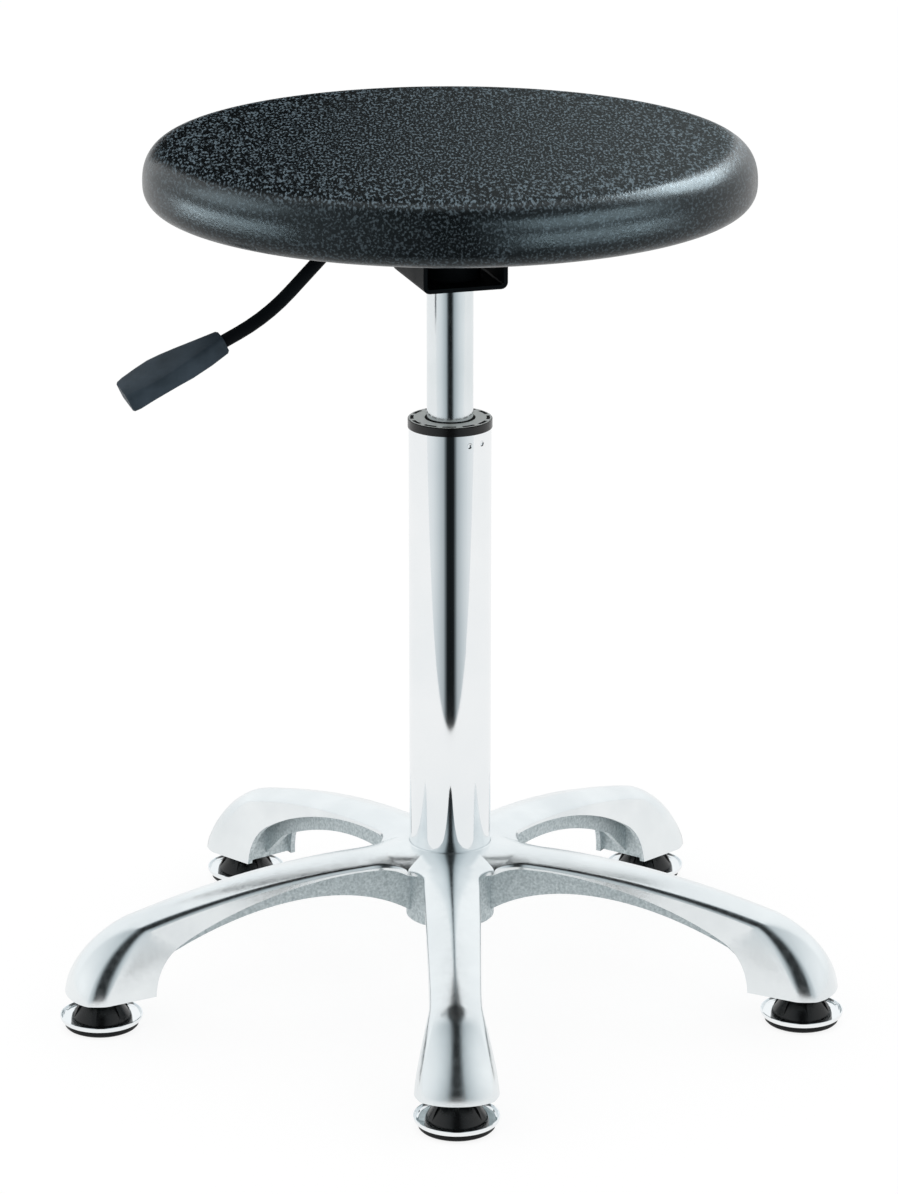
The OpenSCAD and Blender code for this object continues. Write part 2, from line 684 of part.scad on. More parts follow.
module bracket_channel() {
  w = bracket_w / 2;
  t = bracket_t;
  outline = concat([[w, bracket_h]], [[w - t, bracket_h]],
    arc2(w - fold_r, fold_r, fold_r - t, 0, -90, 5),
    arc2(fold_r - w, fold_r, fold_r - t, -90, -180, 5), [[t - w, bracket_h]], [[-w, bracket_h]],
    arc2(fold_r - w, fold_r, fold_r, 180, 270, 5), arc2(w - fold_r, fold_r, fold_r, 270, 360, 5));
  color([0.06, 0.06, 0.07])
    seat_frame()
      difference() {
        translate([0, bracket_l / 2, bracket_z])
          rotate([90, 0, 0])
            linear_extrude(height = bracket_l)
              polygon(outline);
        translate([0, 0, bracket_z - 1])
          cylinder(r = socket_tube_d / 2, h = t + 2);
        translate([-w - 1, 0, pivot_z])
          rotate([0, 90, 0])
            cylinder(r = rod_r + 1.3, h = t + 2);
      }
}

module mount_plate() {
  color([0.07, 0.07, 0.08])
    seat_frame()
      difference() {
        translate([0, 0, plate_z])
          linear_extrude(height = plate_t)
            polygon(round_rect(plate_w, plate_w, plate_corner, 8));
        at_bolts()
          translate([0, 0, plate_z - 1])
            cylinder(r = bolt_d / 2 + free_fit, h = plate_t + 2);
      }
}

module at_bolts() {
  for (x = [-bolt_at, bolt_at])
    for (y = [-bolt_at, bolt_at])
      translate([x, y, 0])
        children();
}

module pivot_block() {
  x0 = pivot_out - 9.5;
  x1 = bracket_w / 2 - bracket_t;
  low = column_top + 0.5;
  color([0.9, 0.9, 0.86])
    lever_frame()
      difference() {
        translate([x0, -12, low])
          cube([x1 - x0, 24, plate_z - low]);
        translate([x0 - 1, -rod_r - free_fit, low - 1])
          cube([x1 - x0 + 2, rod_d + 2 * free_fit, pivot_z + rod_r + 2 - low + 1]);
        translate([pivot_out, 13, pivot_z])
          rotate([90, 0, 0])
            cylinder(r = pivot_pin_d / 2 + slide_fit, h = 26);
      }
}

module lever_pivot_pin() {
  color([0.7, 0.71, 0.73])
    lever_frame()
      translate([pivot_out, 11, pivot_z])
        rotate([90, 0, 0])
          cylinder(r = pivot_pin_d / 2, h = 22);
}

// the rod's centre line as [distance, height, downward slope]
rod_path = concat([[-rod_in, pivot_z, 0]],
  [for (n = [0:8]) let (a = bend_a * n / 8) [path_a[0] + bend_a_r * sin(a),
  path_a[1] - bend_a_r * (1 - cos(a)), a]],
  [for (n = [0:5]) let (a = mix(bend_a, end_slope, n / 5))
    [path_c[0] + bend_b_r * (sin(bend_a) - sin(a)), path_c[1] + bend_b_r * (cos(bend_a) - cos(a)), a]],
  [[path_d[0] + (handle_gap + handle_hold) * cos(end_slope),
  path_d[1] - (handle_gap + handle_hold) * sin(end_slope), end_slope]]);

module lever_rod() {
  rings = [for (q = rod_path) [for (n = [0:23]) let (a = 15 * n)
    [q[0] + rod_r * sin(a) * sin(q[2]), rod_r * cos(a), q[1] + rod_r * sin(a) * cos(q[2])]]];
  color([0.06, 0.06, 0.07])
    lever_frame()
      difference() {
        loft(rings);
        translate([pivot_out, 6, pivot_z])
          rotate([90, 0, 0])
            cylinder(r = pivot_pin_d / 2 + press_fit, h = 12);
      }
}

// stations of the handle as [share of its length, share of its width, share of its thickness, upward
// bow in thicknesses]
handle_form = [[0, 0.37, 0.73, 0], [0.02, 0.45, 0.84, 0], [0.2, 0.62, 0.9, 0], [0.4, 0.82, 0.88, 0.04],
  [0.54, 0.94, 0.8, 0.09],
  [0.66, 1, 0.77, 0.11], [0.79, 0.95, 0.8, 0.08], [0.93, 0.84, 0.9, 0.02], [0.985, 0.77, 0.89, 0],
  [1, 0.7, 0.8, 0]];

module loft(rings) {
  n = len(rings[0]);
  m = len(rings);
  sides = [for (i = [0:m - 2]) for (j = [0:n - 1])
    for (f = quad(i * n + j, (i + 1) * n + j, (i + 1) * n + (j + 1) % n, i * n + (j + 1) % n, true)) f];
  polyhedron(points = [for (r = rings) for (p = r) p],
    faces = concat(sides, [[for (j = [0:n - 1]) j]], [[for (j = [n - 1:-1:0]) (m - 1) * n + j]]),
      convexity = 4);
}

module lever_handle() {
  rings = [for (f = handle_form) let (w = handle_w * f[1], t = handle_t * f[2], r = min(2.4, t * 0.2))
    [for (p = round_rect(t, w, r, 4)) [p[0] - handle_t * f[3], p[1], handle_gap + handle_len * f[0]]]];
  color([0.08, 0.08, 0.09])
    lever_frame()
      difference() {
        translate([path_d[0], 0, path_d[1]])
          rotate([0, 90 + end_slope, 0])
            rotate([0, 0, -handle_roll])
              loft(rings);
        translate([path_d[0], 0, path_d[1]])
          rotate([0, 90 + end_slope, 0])
            cylinder(r = rod_r + press_fit, h = handle_gap + handle_hold + 1);
      }
}

module seat_board() {
  color([0.72, 0.58, 0.4])
    seat_frame()
      difference() {
        translate([0, 0, board_z])
          cylinder(r = board_d / 2, h = board_t);
        at_bolts()
          translate([0, 0, board_z - 1])
            cylinder(r = tee_barrel_d / 2 + press_fit, h = board_t + 2);
      }
}

module tee_nuts() {
  color([0.66, 0.66, 0.6])
    seat_frame()
      at_bolts()
        rotate_extrude()
          polygon([[bolt_d / 2 + slide_fit, board_z + 1.5], [tee_barrel_d / 2, board_z + 1.5],
            [tee_barrel_d / 2, board_top],
            [tee_flange_d / 2, board_top], [tee_flange_d / 2, board_top + tee_flange_t],
            [bolt_d / 2 + slide_fit, board_top + tee_flange_t]]);
}

module mount_bolts() {
  head_z = plate_z - washer_t - bolt_head_h;
  color([0.5, 0.51, 0.53])
    seat_frame()
      at_bolts() {
        translate([0, 0, head_z])
          cylinder(r = bolt_head_w / 2 / cos(30), h = bolt_head_h, $fn = 6);
        translate([0, 0, head_z + bolt_head_h - 0.5])
          cylinder(r = bolt_d / 2, h = bolt_len + 0.5);
      }
}

module mount_washers() {
  color([0.6, 0.61, 0.63])
    seat_frame()
      at_bolts()
        ring(bolt_d / 2 + free_fit, washer_d / 2, plate_z - washer_t, plate_z);
}

// the cushion's half outline from the middle of its crown to its underside, at a depth under the surface
function cushion_edge(depth) =
  let (full = 2 / edge_fullness, low_h = wide_z - board_z - depth, roll_r = seat_r - top_roll,
    high_h = top_roll_h - depth,
    reach = top_roll - depth, under = low_roll - depth)
  concat([[0, seat_top - depth]],
    [for (n = [0:6]) let (t = n / 6) [mix(crown_flat_r, roll_r, t), seat_top - crown_h * t * t - depth]],
    [for (n = [1:16]) let (a = 90 * n / 16) [roll_r + reach * pow(sin(a), full),
    wide_z + high_h * pow(max(0, cos(a)), full)]],
    [for (n = [1:12]) let (a = 90 * n / 12)
      [seat_r - low_roll + under * pow(max(0, cos(a)), full), wide_z - low_h * pow(sin(a), full)]]);
function reversed(v) = [for (n = [len(v) - 1:-1:0]) v[n]];
pocket_r = board_d / 2 + press_fit;

module seat_cushion() {
  color([0.05, 0.05, 0.06])
    rotate_extrude()
      polygon(concat(cushion_edge(0), [[pocket_r, board_z], [pocket_r, board_z + skin_t]],
        reversed(cushion_edge(skin_t))));
}

module seat_core() {
  color([0.2, 0.2, 0.21])
    difference() {
      rotate_extrude()
        polygon(concat(cushion_edge(skin_t),
          [[pocket_r, board_z + skin_t], [pocket_r, board_top], [0, board_top]]));
      seat_frame()
        at_bolts()
          translate([0, 0, board_top - 1])
            cylinder(r = tee_flange_d / 2 + press_fit, h = tee_flange_t + 4);
    }
}

module at_glide(n) {
  rotate([0, 0, sector * (n - 1) - 90])
    translate([glide_r, 0, 0])
      children();
}

module glide_pad(n) {
  low = pad_low_d / 2;
  wide = pad_d / 2;
  color([0.05, 0.05, 0.05])
    at_glide(n)
      rotate_extrude()
        polygon([[0, 0], [low, 0], [mix(low, wide, 0.4), pad_round * 0.17],
          [mix(low, wide, 0.76), pad_round * 0.52],
          [wide, pad_round], [wide, pad_h], [rivet_r + 0.2, pad_h],
          [rivet_r + 0.2, pad_h - rivet_h - 0.1],
          [0, pad_h - rivet_h - 0.1]]);
}

module glide_dish(n) {
  rim = dish_d / 2;
  flat = pad_d / 2;
  color([0.85, 0.86, 0.88])
    at_glide(n)
      rotate_extrude()
        polygon([[stem_low_r + slide_fit, dish_z], [flat, dish_z],
          [mix(flat, rim, 0.55), dish_z + dish_h * 0.16],
          [mix(flat, rim, 0.88), dish_z + dish_h * 0.45], [rim, dish_z + dish_h * 0.85],
          [rim - 0.2, dish_z + dish_h],
          [rim - 0.9, dish_z + dish_h], [mix(flat, rim, 0.88) - dish_t,
          dish_z + dish_h * 0.45 + dish_t * 0.5],
          [mix(flat, rim, 0.5) - dish_t * 0.4, dish_z + dish_h * 0.16 + dish_t * 0.9],
          [flat - 0.4, dish_z + dish_t],
          [stem_low_r + slide_fit, dish_z + dish_t]]);
}

module glide_body(n) {
  top = cone_top_d / 2;
  low = cone_low_d / 2;
  h = cone_top_z - cone_z;
  color([0.06, 0.06, 0.06])
    at_glide(n)
      difference() {
        union() {
          rotate_extrude()
            polygon([[0, cone_z], [low, cone_z], [low - 0.6, cone_z + 2.4],
              [mix(low, top, 0.5) - 0.5, cone_z + h * 0.5],
              [top - 1, cone_z + h - 2], [top, cone_z + h - 1.6], [top, cone_z + h], [0, cone_z + h]]);
          for (k = [0:cone_ribs - 1])
            rotate([0, 0, 360 / cone_ribs * k])
              translate([0, cone_rib_t / 2, 0])
                rotate([90, 0, 0])
                  linear_extrude(height = cone_rib_t)
                    polygon([[top - 3, cone_z + 1], [low - 0.2, cone_z + 1],
                      [mix(low, top, 0.5) + 0.7, cone_z + h * 0.5], [top, cone_z + h - 1],
                      [top - 3, cone_z + h - 1]]);
        }
        translate([0, 0, cone_z - 1])
          cylinder(r = stem_low_r + slide_fit, h = h + 2);
      }
}

module glide_stem(n) {
  r = stem_d / 2;
  top = foot_base + stem_len;
  color([0.7, 0.71, 0.73])
    at_glide(n)
      rotate_extrude()
        polygon([[0, pad_h - rivet_h], [rivet_r, pad_h - rivet_h], [rivet_r, pad_h],
          [stem_low_r, pad_h], [stem_low_r, cone_top_z],
          [r, cone_top_z], [r, top - 7.6], [r - 0.6, top - 7.6], [r - 0.6, top - 5.6], [r, top - 5.6],
          [r, top - 1], [r - 1, top], [0, top]]);
}

module glide_ring(n) {
  top = foot_base + stem_len;
  color([0.35, 0.35, 0.37])
    at_glide(n)
      difference() {
        ring(stem_d / 2 - 0.6 + press_fit, stem_d / 2 + slide_fit, top - 7.5, top - 5.7);
        translate([0, -0.8, top - 8])
          cube([8, 1.6, 3]);
      }
}

glide_kinds = ["stem", "ring", "body", "dish", "pad"];

star_base();
outer_tube();
tube_collar();
guide_bush();
bottom_plate();
bearing_lower_race();
piston_rod();
piston();
piston_seal();
bumper();
bearing_upper_race();
bearing_cage();
bearing_balls();
rod_washer();
rod_clip();
gas_cylinder();
pressure_tube();
rod_guide();
rod_seal();
valve_body();
taper_socket();
bracket_channel();
mount_plate();
pivot_block();
seat_board();
tee_nuts();
mount_bolts();
mount_washers();
seat_cushion();
seat_core();
lever_rod();
lever_handle();
lever_pivot_pin();
release_pin();
glide_stem(1);  // glide_stem_1
glide_stem(2);  // glide_stem_2
glide_stem(3);  // glide_stem_3
glide_stem(4);  // glide_stem_4
glide_stem(5);  // glide_stem_5
glide_ring(1);  // glide_ring_1
glide_ring(2);  // glide_ring_2
glide_ring(3);  // glide_ring_3
glide_ring(4);  // glide_ring_4
glide_ring(5);  // glide_ring_5
glide_body(1);  // glide_body_1
glide_body(2);  // glide_body_2
glide_body(3);  // glide_body_3
glide_body(4);  // glide_body_4
glide_body(5);  // glide_body_5
glide_dish(1);  // glide_dish_1
glide_dish(2);  // glide_dish_2
glide_dish(3);  // glide_dish_3
glide_dish(4);  // glide_dish_4
glide_dish(5);  // glide_dish_5
glide_pad(1);  // glide_pad_1
glide_pad(2);  // glide_pad_2
glide_pad(3);  // glide_pad_3
glide_pad(4);  // glide_pad_4
glide_pad(5);  // glide_pad_5
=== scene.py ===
# %% [markdown]
# # A round work stool on a five-arm base
# The stool has a moulded foam seat, a chromed gas lift, a bent release lever and a
# polished aluminium base that stands on five small glides. The measured solids come in
# as a fixed frame. This lesson gives every one of them a real finish, and builds the
# seat and the cast base again as finer surfaces.

# %% Load the frame
import json
import math
import bpy
import numpy as np
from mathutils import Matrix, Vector


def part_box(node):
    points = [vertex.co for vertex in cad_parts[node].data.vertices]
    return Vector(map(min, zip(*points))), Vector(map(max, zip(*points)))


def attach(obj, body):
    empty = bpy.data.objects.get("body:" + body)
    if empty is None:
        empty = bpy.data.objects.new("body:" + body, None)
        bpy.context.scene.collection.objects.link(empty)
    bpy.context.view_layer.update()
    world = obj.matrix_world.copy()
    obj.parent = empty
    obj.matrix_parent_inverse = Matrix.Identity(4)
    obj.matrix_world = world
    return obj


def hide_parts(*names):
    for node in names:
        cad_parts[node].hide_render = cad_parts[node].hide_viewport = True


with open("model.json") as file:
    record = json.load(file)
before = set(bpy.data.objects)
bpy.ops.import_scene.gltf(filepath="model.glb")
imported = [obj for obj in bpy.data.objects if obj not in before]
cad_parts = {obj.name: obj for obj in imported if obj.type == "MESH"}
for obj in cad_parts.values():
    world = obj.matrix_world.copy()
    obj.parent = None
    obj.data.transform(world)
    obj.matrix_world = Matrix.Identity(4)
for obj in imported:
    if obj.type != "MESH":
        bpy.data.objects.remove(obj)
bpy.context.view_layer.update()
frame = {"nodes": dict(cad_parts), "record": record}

nodes = frame["nodes"]

# %% [markdown]
# ## Colours and nodes
# A finish is written as a hex colour, which is sRGB, and Blender's shaders want linear
# light, so one function turns one into the other. A second one adds a node, sets its
# settings and plugs in its links. A third one writes a whole finish: a real surface is
# never one number, so its colour, its sheen and its relief each follow a noise pattern of
# a real size, given in millimetres.

# %% Colour, node and finish helpers
MM = 0.001


def linear(hex_colour):
    """sRGB hex to linear RGBA: each channel c becomes ((c + 0.055) / 1.055) ** 2.4, or c / 12.92 near black."""
    c = np.array([int(hex_colour[i:i + 2], 16) for i in (1, 3, 5)]) / 255
    lin = np.where(c > 0.04045, ((c + 0.055) / 1.055) ** 2.4, c / 12.92)
    return (*lin.tolist(), 1.0)


def add(tree, kind, values=None, links=None, **settings):
    """One node of that kind. settings are its own properties, values its sockets, links its plugged sockets."""
    node = tree.nodes.new(kind)
    for name, value in settings.items():
        setattr(node, name, value)
    for name, value in (values or {}).items():
        node.inputs[name].default_value = value
    for name, source in (links or {}).items():
        tree.links.new(source, node.inputs[name])
    return node


def vary(tree, where, target, size, low, high, share=(0.3, 0.7), detail=3.0, stretch=(1, 1, 1), fade=None):
    """Let a socket follow a noise pattern of blobs about size mm across, between two numbers or two hex colours.
    share is the part of the noise in which it goes from low to high. fade is (height, height, least): over these
    heights in mm a colour pattern grows from that least strength to its full one."""
    placed = add(tree, "ShaderNodeMapping", {"Scale": [1 / k for k in stretch]}, {"Vector": where}).outputs[0]
    # a blob is about half as wide as one cell of the noise
    spots = add(tree, "ShaderNodeTexNoise", {"Scale": 0.5 / (size * MM), "Detail": detail},
                {"Vector": placed}).outputs["Fac"]
    is_colour = isinstance(low, str)
    ends = {"To Min": 0.0, "To Max": 1.0} if is_colour else {"To Min": low, "To Max": high}
    level = add(tree, "ShaderNodeMapRange", {"From Min": share[0], "From Max": share[1], **ends},
                {"Value": spots}).outputs[0]
    if fade:
        height = add(tree, "ShaderNodeSeparateXYZ", links={"Vector": where}).outputs["Z"]
        full = add(tree, "ShaderNodeMapRange", {"From Min": fade[0] * MM, "From Max": fade[1] * MM, "To Min": fade[2]},
                   {"Value": height}).outputs[0]
        level = add(tree, "ShaderNodeMath", links={0: level, 1: full}, operation="MULTIPLY").outputs[0]
    if is_colour:
        blend = add(tree, "ShaderNodeMix", {6: linear(low), 7: linear(high)}, {0: level}, data_type="RGBA")
        level = blend.outputs[2]
    tree.links.new(level, target)


def finish_of(name, colours, metallic, rough, relief=(), colour_size=10.0, rough_size=8.0,
              stretch=(1, 1, 1), share=(0.3, 0.7), fade=None, **sockets):
    """A material. colours is (low, high) in hex, rough (low, high), relief rows of (size mm, depth mm). Each
    further name is a socket of the shader, with _ for a space, and its value."""
    mat = bpy.data.materials.new(name)
    mat.use_nodes = True
    tree = mat.node_tree
    shader = tree.nodes["Principled BSDF"]
    where = add(tree, "ShaderNodeTexCoord").outputs["Object"]
    mat.diffuse_color = linear(colours[0])
    shader.inputs["Metallic"].default_value = metallic
    for key, value in sockets.items():
        shader.inputs[key.replace("_", " ")].default_value = value
    vary(tree, where, shader.inputs["Base Color"], colour_size, *colours, share, stretch=stretch, fade=fade)
    vary(tree, where, shader.inputs["Roughness"], rough_size, *rough, detail=4.0)
    under = None
    for size, depth in relief:
        bump = add(tree, "ShaderNodeBump", {"Distance": depth * MM}, {"Normal": under} if under else None)
        vary(tree, where, bump.inputs["Height"], size, 0.0, 1.0, (0.0, 1.0), stretch=stretch)
        under = bump.outputs[0]
    if under:
        tree.links.new(under, shader.inputs["Normal"])
    return mat


# %% [markdown]
# ## Metals
# The base is die-cast aluminium. Its upper faces are polished on a wheel, which leaves a
# mild blur and a fine haze of scratches, and its underside stays as it left the mould,
# grey and finely pitted. The tubes are steel with bright chrome on it, which is almost a
# mirror, while the cylinder of the gas lift is ground first and keeps a softer shine.

# %% Aluminium, chrome and steels
# wheel polish: soft-edged reflections with a faint grain in them
polished = finish_of("polished die-cast aluminium", ("#E2E7E9", "#F0F4F5"), 1.0, (0.16, 0.24),
                     [(1.2, 0.02)], 25.0, 2.0)
# as-cast skin: a dull grey with fine pits that catch the light
rough_cast = finish_of("rough-cast aluminium", ("#B3BEC1", "#DDE5E7"), 0.7, (0.5, 0.7),
                       [(0.8, 0.1), (3.0, 0.06)], 0.8, 1.2)
# bright chrome over steel: crisp reflections that stay a little darker than the white they show
chrome = finish_of("bright chrome plate", ("#EBEFF1", "#F4F6F7"), 1.0, (0.035, 0.06), (), 40.0, 40.0)
# chrome over a ground tube: the same colour with a wide soft edge to each reflection
ground_chrome = finish_of("ground chrome plate", ("#E0E6E8", "#EDF1F3"), 1.0, (0.12, 0.17),
                          [(0.9, 0.006)], 30.0, 2.0)
# zinc plate: a pale grey satin
steel = finish_of("zinc-plated steel", ("#ABAEB2", "#C6C8CA"), 1.0, (0.24, 0.38), (), 9.0, 3.0)
# oil-blackened spring wire
spring_steel = finish_of("oiled spring steel", ("#424246", "#525256"), 1.0, (0.28, 0.45), (), 4.0, 2.0)
# turned brass: warm, with a tool's fine haze
brass = finish_of("turned brass", ("#BB9449", "#D2B06C"), 1.0, (0.22, 0.32), (), 5.0, 2.0)
metals = polished, rough_cast, chrome, ground_chrome, steel, spring_steel, brass
print("metals:", ", ".join(metal.name for metal in metals))

# %% [markdown]
# ## Paints, plastics, rubber and wood
# The bracket and the lever rod carry a black powder coat, which cures with a faint orange
# peel. The handle is a blue-black moulding with a fine spark-eroded texture. The glide
# cones and the collar are plain mouldings, the guide bush is a pale acetal that runs dry,
# and the seat's board is stained black so that it disappears under the cushion. A flat
# black would look cut out, so each has its own gloss and a slight relief. On the most matt
# ones the specular level is lowered too, because a white room veils every black.

# %% Powder coat, mouldings, rubber and plywood
# cured powder: deep black, with thin highlights only on its folds
black_paint = finish_of("black powder coat", ("#0B0E11", "#12171A"), 0.0, (0.4, 0.5),
                        [(1.6, 0.03)], 12.0, 6.0, Specular_IOR_Level=0.03)
# spark-eroded mould face: even and soft, a little lighter where it faces the light
handle_plastic = finish_of("textured black polypropylene", ("#2F3A42", "#3F4B55"), 0.0, (0.4, 0.5),
                           [(0.7, 0.05)], 8.0, 6.0, Specular_IOR_Level=0.07)
# smooth nylon: black and glossy enough to show its ribs
black_plastic = finish_of("glossy black nylon", ("#08090A", "#101213"), 0.0, (0.2, 0.3),
                          [(1.5, 0.01)], 6.0, 4.0, Specular_IOR_Level=0.4)
# satin guide bush: its flat rim is the palest spot between the two tubes
grey_plastic = finish_of("pale grey acetal", ("#D2DAD7", "#E2E8E5"), 0.0, (0.3, 0.4), (), 5.0, 5.0)
# uncoloured nylon: cream white, and light sinks into it a little
white_plastic = finish_of("natural nylon", ("#DDDBD0", "#EAE8DF"), 0.0, (0.38, 0.46),
                          (), 5.0, 5.0, Subsurface_Weight=0.1)
# nitrile seal rubber: black with a dusty softness
rubber = finish_of("black seal rubber", ("#121212", "#1A1A1A"), 0.0, (0.55, 0.65), [(0.8, 0.04)], 3.0, 3.0)
# matt moulding: stays black at any angle, and on the collar trim this dead black also paints the shade of the slots
# and of the gap round the cylinder
matt_black_shade = finish_of("matt black nylon", ("#060708", "#0B0C0D"), 0.0, (0.6, 0.7),
                       [(0.8, 0.02)], 3.0, 3.0, Specular_IOR_Level=0.03)
# floor pad: hard, matt, nearly black
pad_rubber = finish_of("hard floor-pad rubber", ("#0B0D0E", "#121415"), 0.0, (0.45, 0.55),
                       [(0.8, 0.04)], 3.0, 3.0, Specular_IOR_Level=0.2)
# stained veneer: the grain runs along x, and only shows from below
plywood = finish_of("black-stained birch plywood", ("#141210", "#231F1C"), 0.0, (0.55, 0.68),
                    [(0.6, 0.08)], 1.2, 3.0, stretch=(12, 1, 1))
mouldings = handle_plastic, black_plastic, matt_black_shade, grey_plastic, white_plastic
print("mouldings:", ", ".join(moulding.name for moulding in mouldings))

# %% [markdown]
# ## Seat skin
# The seat is integral-skin polyurethane: the foam forms its own dense skin against the
# mould, and the mould's fine leather texture comes out on it. The skin itself is black. The
# tops of its grain catch the light, and that light is painted into the colour as many fine
# blue-grey specks: painted glints. One fine noise gives both the painted specks and the
# relief, and a wider one gives the slow swell under them. Noise is chosen because its blobs
# have no rows that would repeat.

# %% Grained polyurethane
# the real grain is half a millimetre wide. It is drawn at 0.7 mm, and longer from front to back, so that it shows on
# the low-lying top. The painted glints in its colour fade to a quarter of their strength towards the smoother rim
GRAIN, GRAIN_LENGTH, RIM_Z, CROWN_Z, RIM_GLINTS = 0.7, 3.4, 527.0, 532.4, 0.25
# painted highlight: the blue-grey second colour is light caught on the grain tops, not the skin's own colour
seat_skin = finish_of("grained polyurethane skin with painted glints", ("#080B0D", "#74858F"), 0.0, (0.26, 0.34),
                      [(2.4, 0.1), (GRAIN, 0.12)], GRAIN, 14.0, stretch=(1, GRAIN_LENGTH, 1), share=(0.5, 0.64),
                      fade=(RIM_Z, CROWN_Z, RIM_GLINTS), Specular_IOR_Level=0.25, Specular_Tint=(0.8, 0.95, 1.0, 1.0))
print("seat grain:", GRAIN, "mm wide, drawn", GRAIN_LENGTH, "times as long")

# %% [markdown]
# ## Dress the solids
# Each solid names its finish in the record, so one table takes the record's slot to the
# material. The solids arrive as loose triangles, so a small node group merges them and
# smooths every edge under 32 degrees, which keeps true corners sharp.

# %% Give every solid its finish
slot_finish = {"cast_aluminium": rough_cast, "chrome_plate": chrome, "bright_steel": steel,
               "spring_steel": spring_steel, "brass": brass, "black_plastic": black_plastic,
               "grey_plastic": grey_plastic, "white_plastic": white_plastic, "rubber": rubber,
               "pad_rubber": pad_rubber, "black_paint": black_paint, "handle_plastic": handle_plastic,
               "plywood": plywood, "seat_skin": seat_skin, "seat_foam": rubber}
slot_of = {part["node"]: part["material_slot"] for part in frame["record"]["subparts"]}
SHARP_ANGLE = math.radians(32)


def smoothing_group():
    """Geometry nodes: merge points closer than 1 micrometre, shade all faces smooth, then mark the sharp edges."""
    tree = bpy.data.node_groups.new("smooth by angle", "GeometryNodeTree")
    tree.interface.new_socket("Geometry", in_out="INPUT", socket_type="NodeSocketGeometry")
    tree.interface.new_socket("Geometry", in_out="OUTPUT", socket_type="NodeSocketGeometry")
    start, end = add(tree, "NodeGroupInput"), add(tree, "NodeGroupOutput")
    merged = add(tree, "GeometryNodeMergeByDistance", {"Distance": 1e-6}, {"Geometry": start.outputs[0]})
    smooth = add(tree, "GeometryNodeSetShadeSmooth", {"Shade Smooth": True}, {"Geometry": merged.outputs[0]},
                 domain="FACE")
    angle = add(tree, "GeometryNodeInputMeshEdgeAngle").outputs["Unsigned Angle"]
    sharp = add(tree, "FunctionNodeCompare", {"B": SHARP_ANGLE}, {"A": angle},
                data_type="FLOAT", operation="GREATER_THAN")
    crisp = add(tree, "GeometryNodeSetShadeSmooth", {"Shade Smooth": False},
                {"Geometry": smooth.outputs[0], "Selection": sharp.outputs[0]}, domain="EDGE")
    tree.links.new(crisp.outputs[0], end.inputs[0])
    return tree


smoothing = smoothing_group()
for name, solid in nodes.items():
    solid.data.materials.clear()
    solid.data.materials.append(ground_chrome if name == "gas_cylinder" else slot_finish[slot_of[name]])
    solid.modifiers.new("smooth by angle", "NODES").node_group = smoothing
print("finishes:", len(set(slot_of.values())))

# %% [markdown]
# ## The cushion
# The seat is one turned form: a nearly flat crown, a full rolled edge, and a flatter
# curve back to the plywood board. The outline is a superellipse, which is fuller at its
# corners than a plain ellipse. Turning it on a fine grid gives a skin that stays round
# in every reflection.

# %% Grid helpers
def grid_faces(rows, cols, wrap_rows=False, wrap_cols=False, flip=False):
    """Quads of a grid of rows x cols points: each point with its neighbours along both ways."""
    i = np.arange(rows if wrap_rows else rows - 1)[:, None]
    j = np.arange(cols if wrap_cols else cols - 1)[None, :]
    i2, j2 = (i + 1) % rows, (j + 1) % cols
    quads = np.stack([i * cols + j, i2 * cols + j, i2 * cols + j2, i * cols + j2], -1).reshape(-1, 4)
    return quads[:, ::-1] if flip else quads


def new_piece(name, points, faces, *materials):
    """A mesh object at the origin from points in metres. faces is a list of rows of point numbers."""
    mesh = bpy.data.meshes.new(name)
    mesh.from_pydata(np.asarray(points).tolist(), [], [list(map(int, f)) for f in faces])
    for material in materials:
        mesh.materials.append(material)
    mesh.shade_smooth()
    mesh.validate()
    piece = bpy.data.objects.new(name, mesh)
    bpy.context.scene.collection.objects.link(piece)
    return piece


def turned(profile, steps):
    """A profile of (radius, height) points turned round the z axis: x = r cos a, y = r sin a."""
    a = np.linspace(0, 2 * np.pi, steps, endpoint=False)
    r, z = np.asarray(profile).T
    return np.stack([np.cos(a)[:, None] * r, np.sin(a)[:, None] * r, np.ones((steps, 1)) * z], -1)


# %% Turn the cushion
SEAT_R, CROWN_R, TOP_ROLL, LOW_ROLL = 181.4, 70.0, 24.0, 17.8
SEAT_TOP, WIDE_Z, SEAT_LOW, CROWN_H, BOARD_R = 533.3, 509.5, 495.0, 0.7, 138.03
# a superellipse of degree 2.45: its sine and cosine are raised to this power
FULL = 2 / 2.45

roll_r = SEAT_R - TOP_ROLL
rise = np.linspace(0, 1, 24)
crown = np.stack([CROWN_R + (roll_r - CROWN_R) * rise, SEAT_TOP - CROWN_H * rise ** 2], 1)
turn = np.linspace(0, np.pi / 2, 40)[1:]
shoulder = np.stack([roll_r + TOP_ROLL * np.sin(turn) ** FULL,
                     WIDE_Z + (SEAT_TOP - CROWN_H - WIDE_Z) * np.cos(turn).clip(0) ** FULL], 1)
belly = np.stack([SEAT_R - LOW_ROLL + LOW_ROLL * np.cos(turn).clip(0) ** FULL,
                  WIDE_Z - (WIDE_Z - SEAT_LOW) * np.sin(turn) ** FULL], 1)
under = np.array([[BOARD_R + 4, SEAT_LOW], [BOARD_R, SEAT_LOW + 0.4],
                  [BOARD_R, SEAT_LOW + 10], [BOARD_R - 6, SEAT_LOW + 12.5]])
middle = np.array([[1.0, SEAT_TOP], [35.0, SEAT_TOP]])
outline = np.concatenate([middle, crown, shoulder, belly, under]) * MM
STEPS = 256
skin_points = turned(outline, STEPS)
count = len(outline)
faces = grid_faces(STEPS, count, wrap_rows=True, flip=True).tolist()
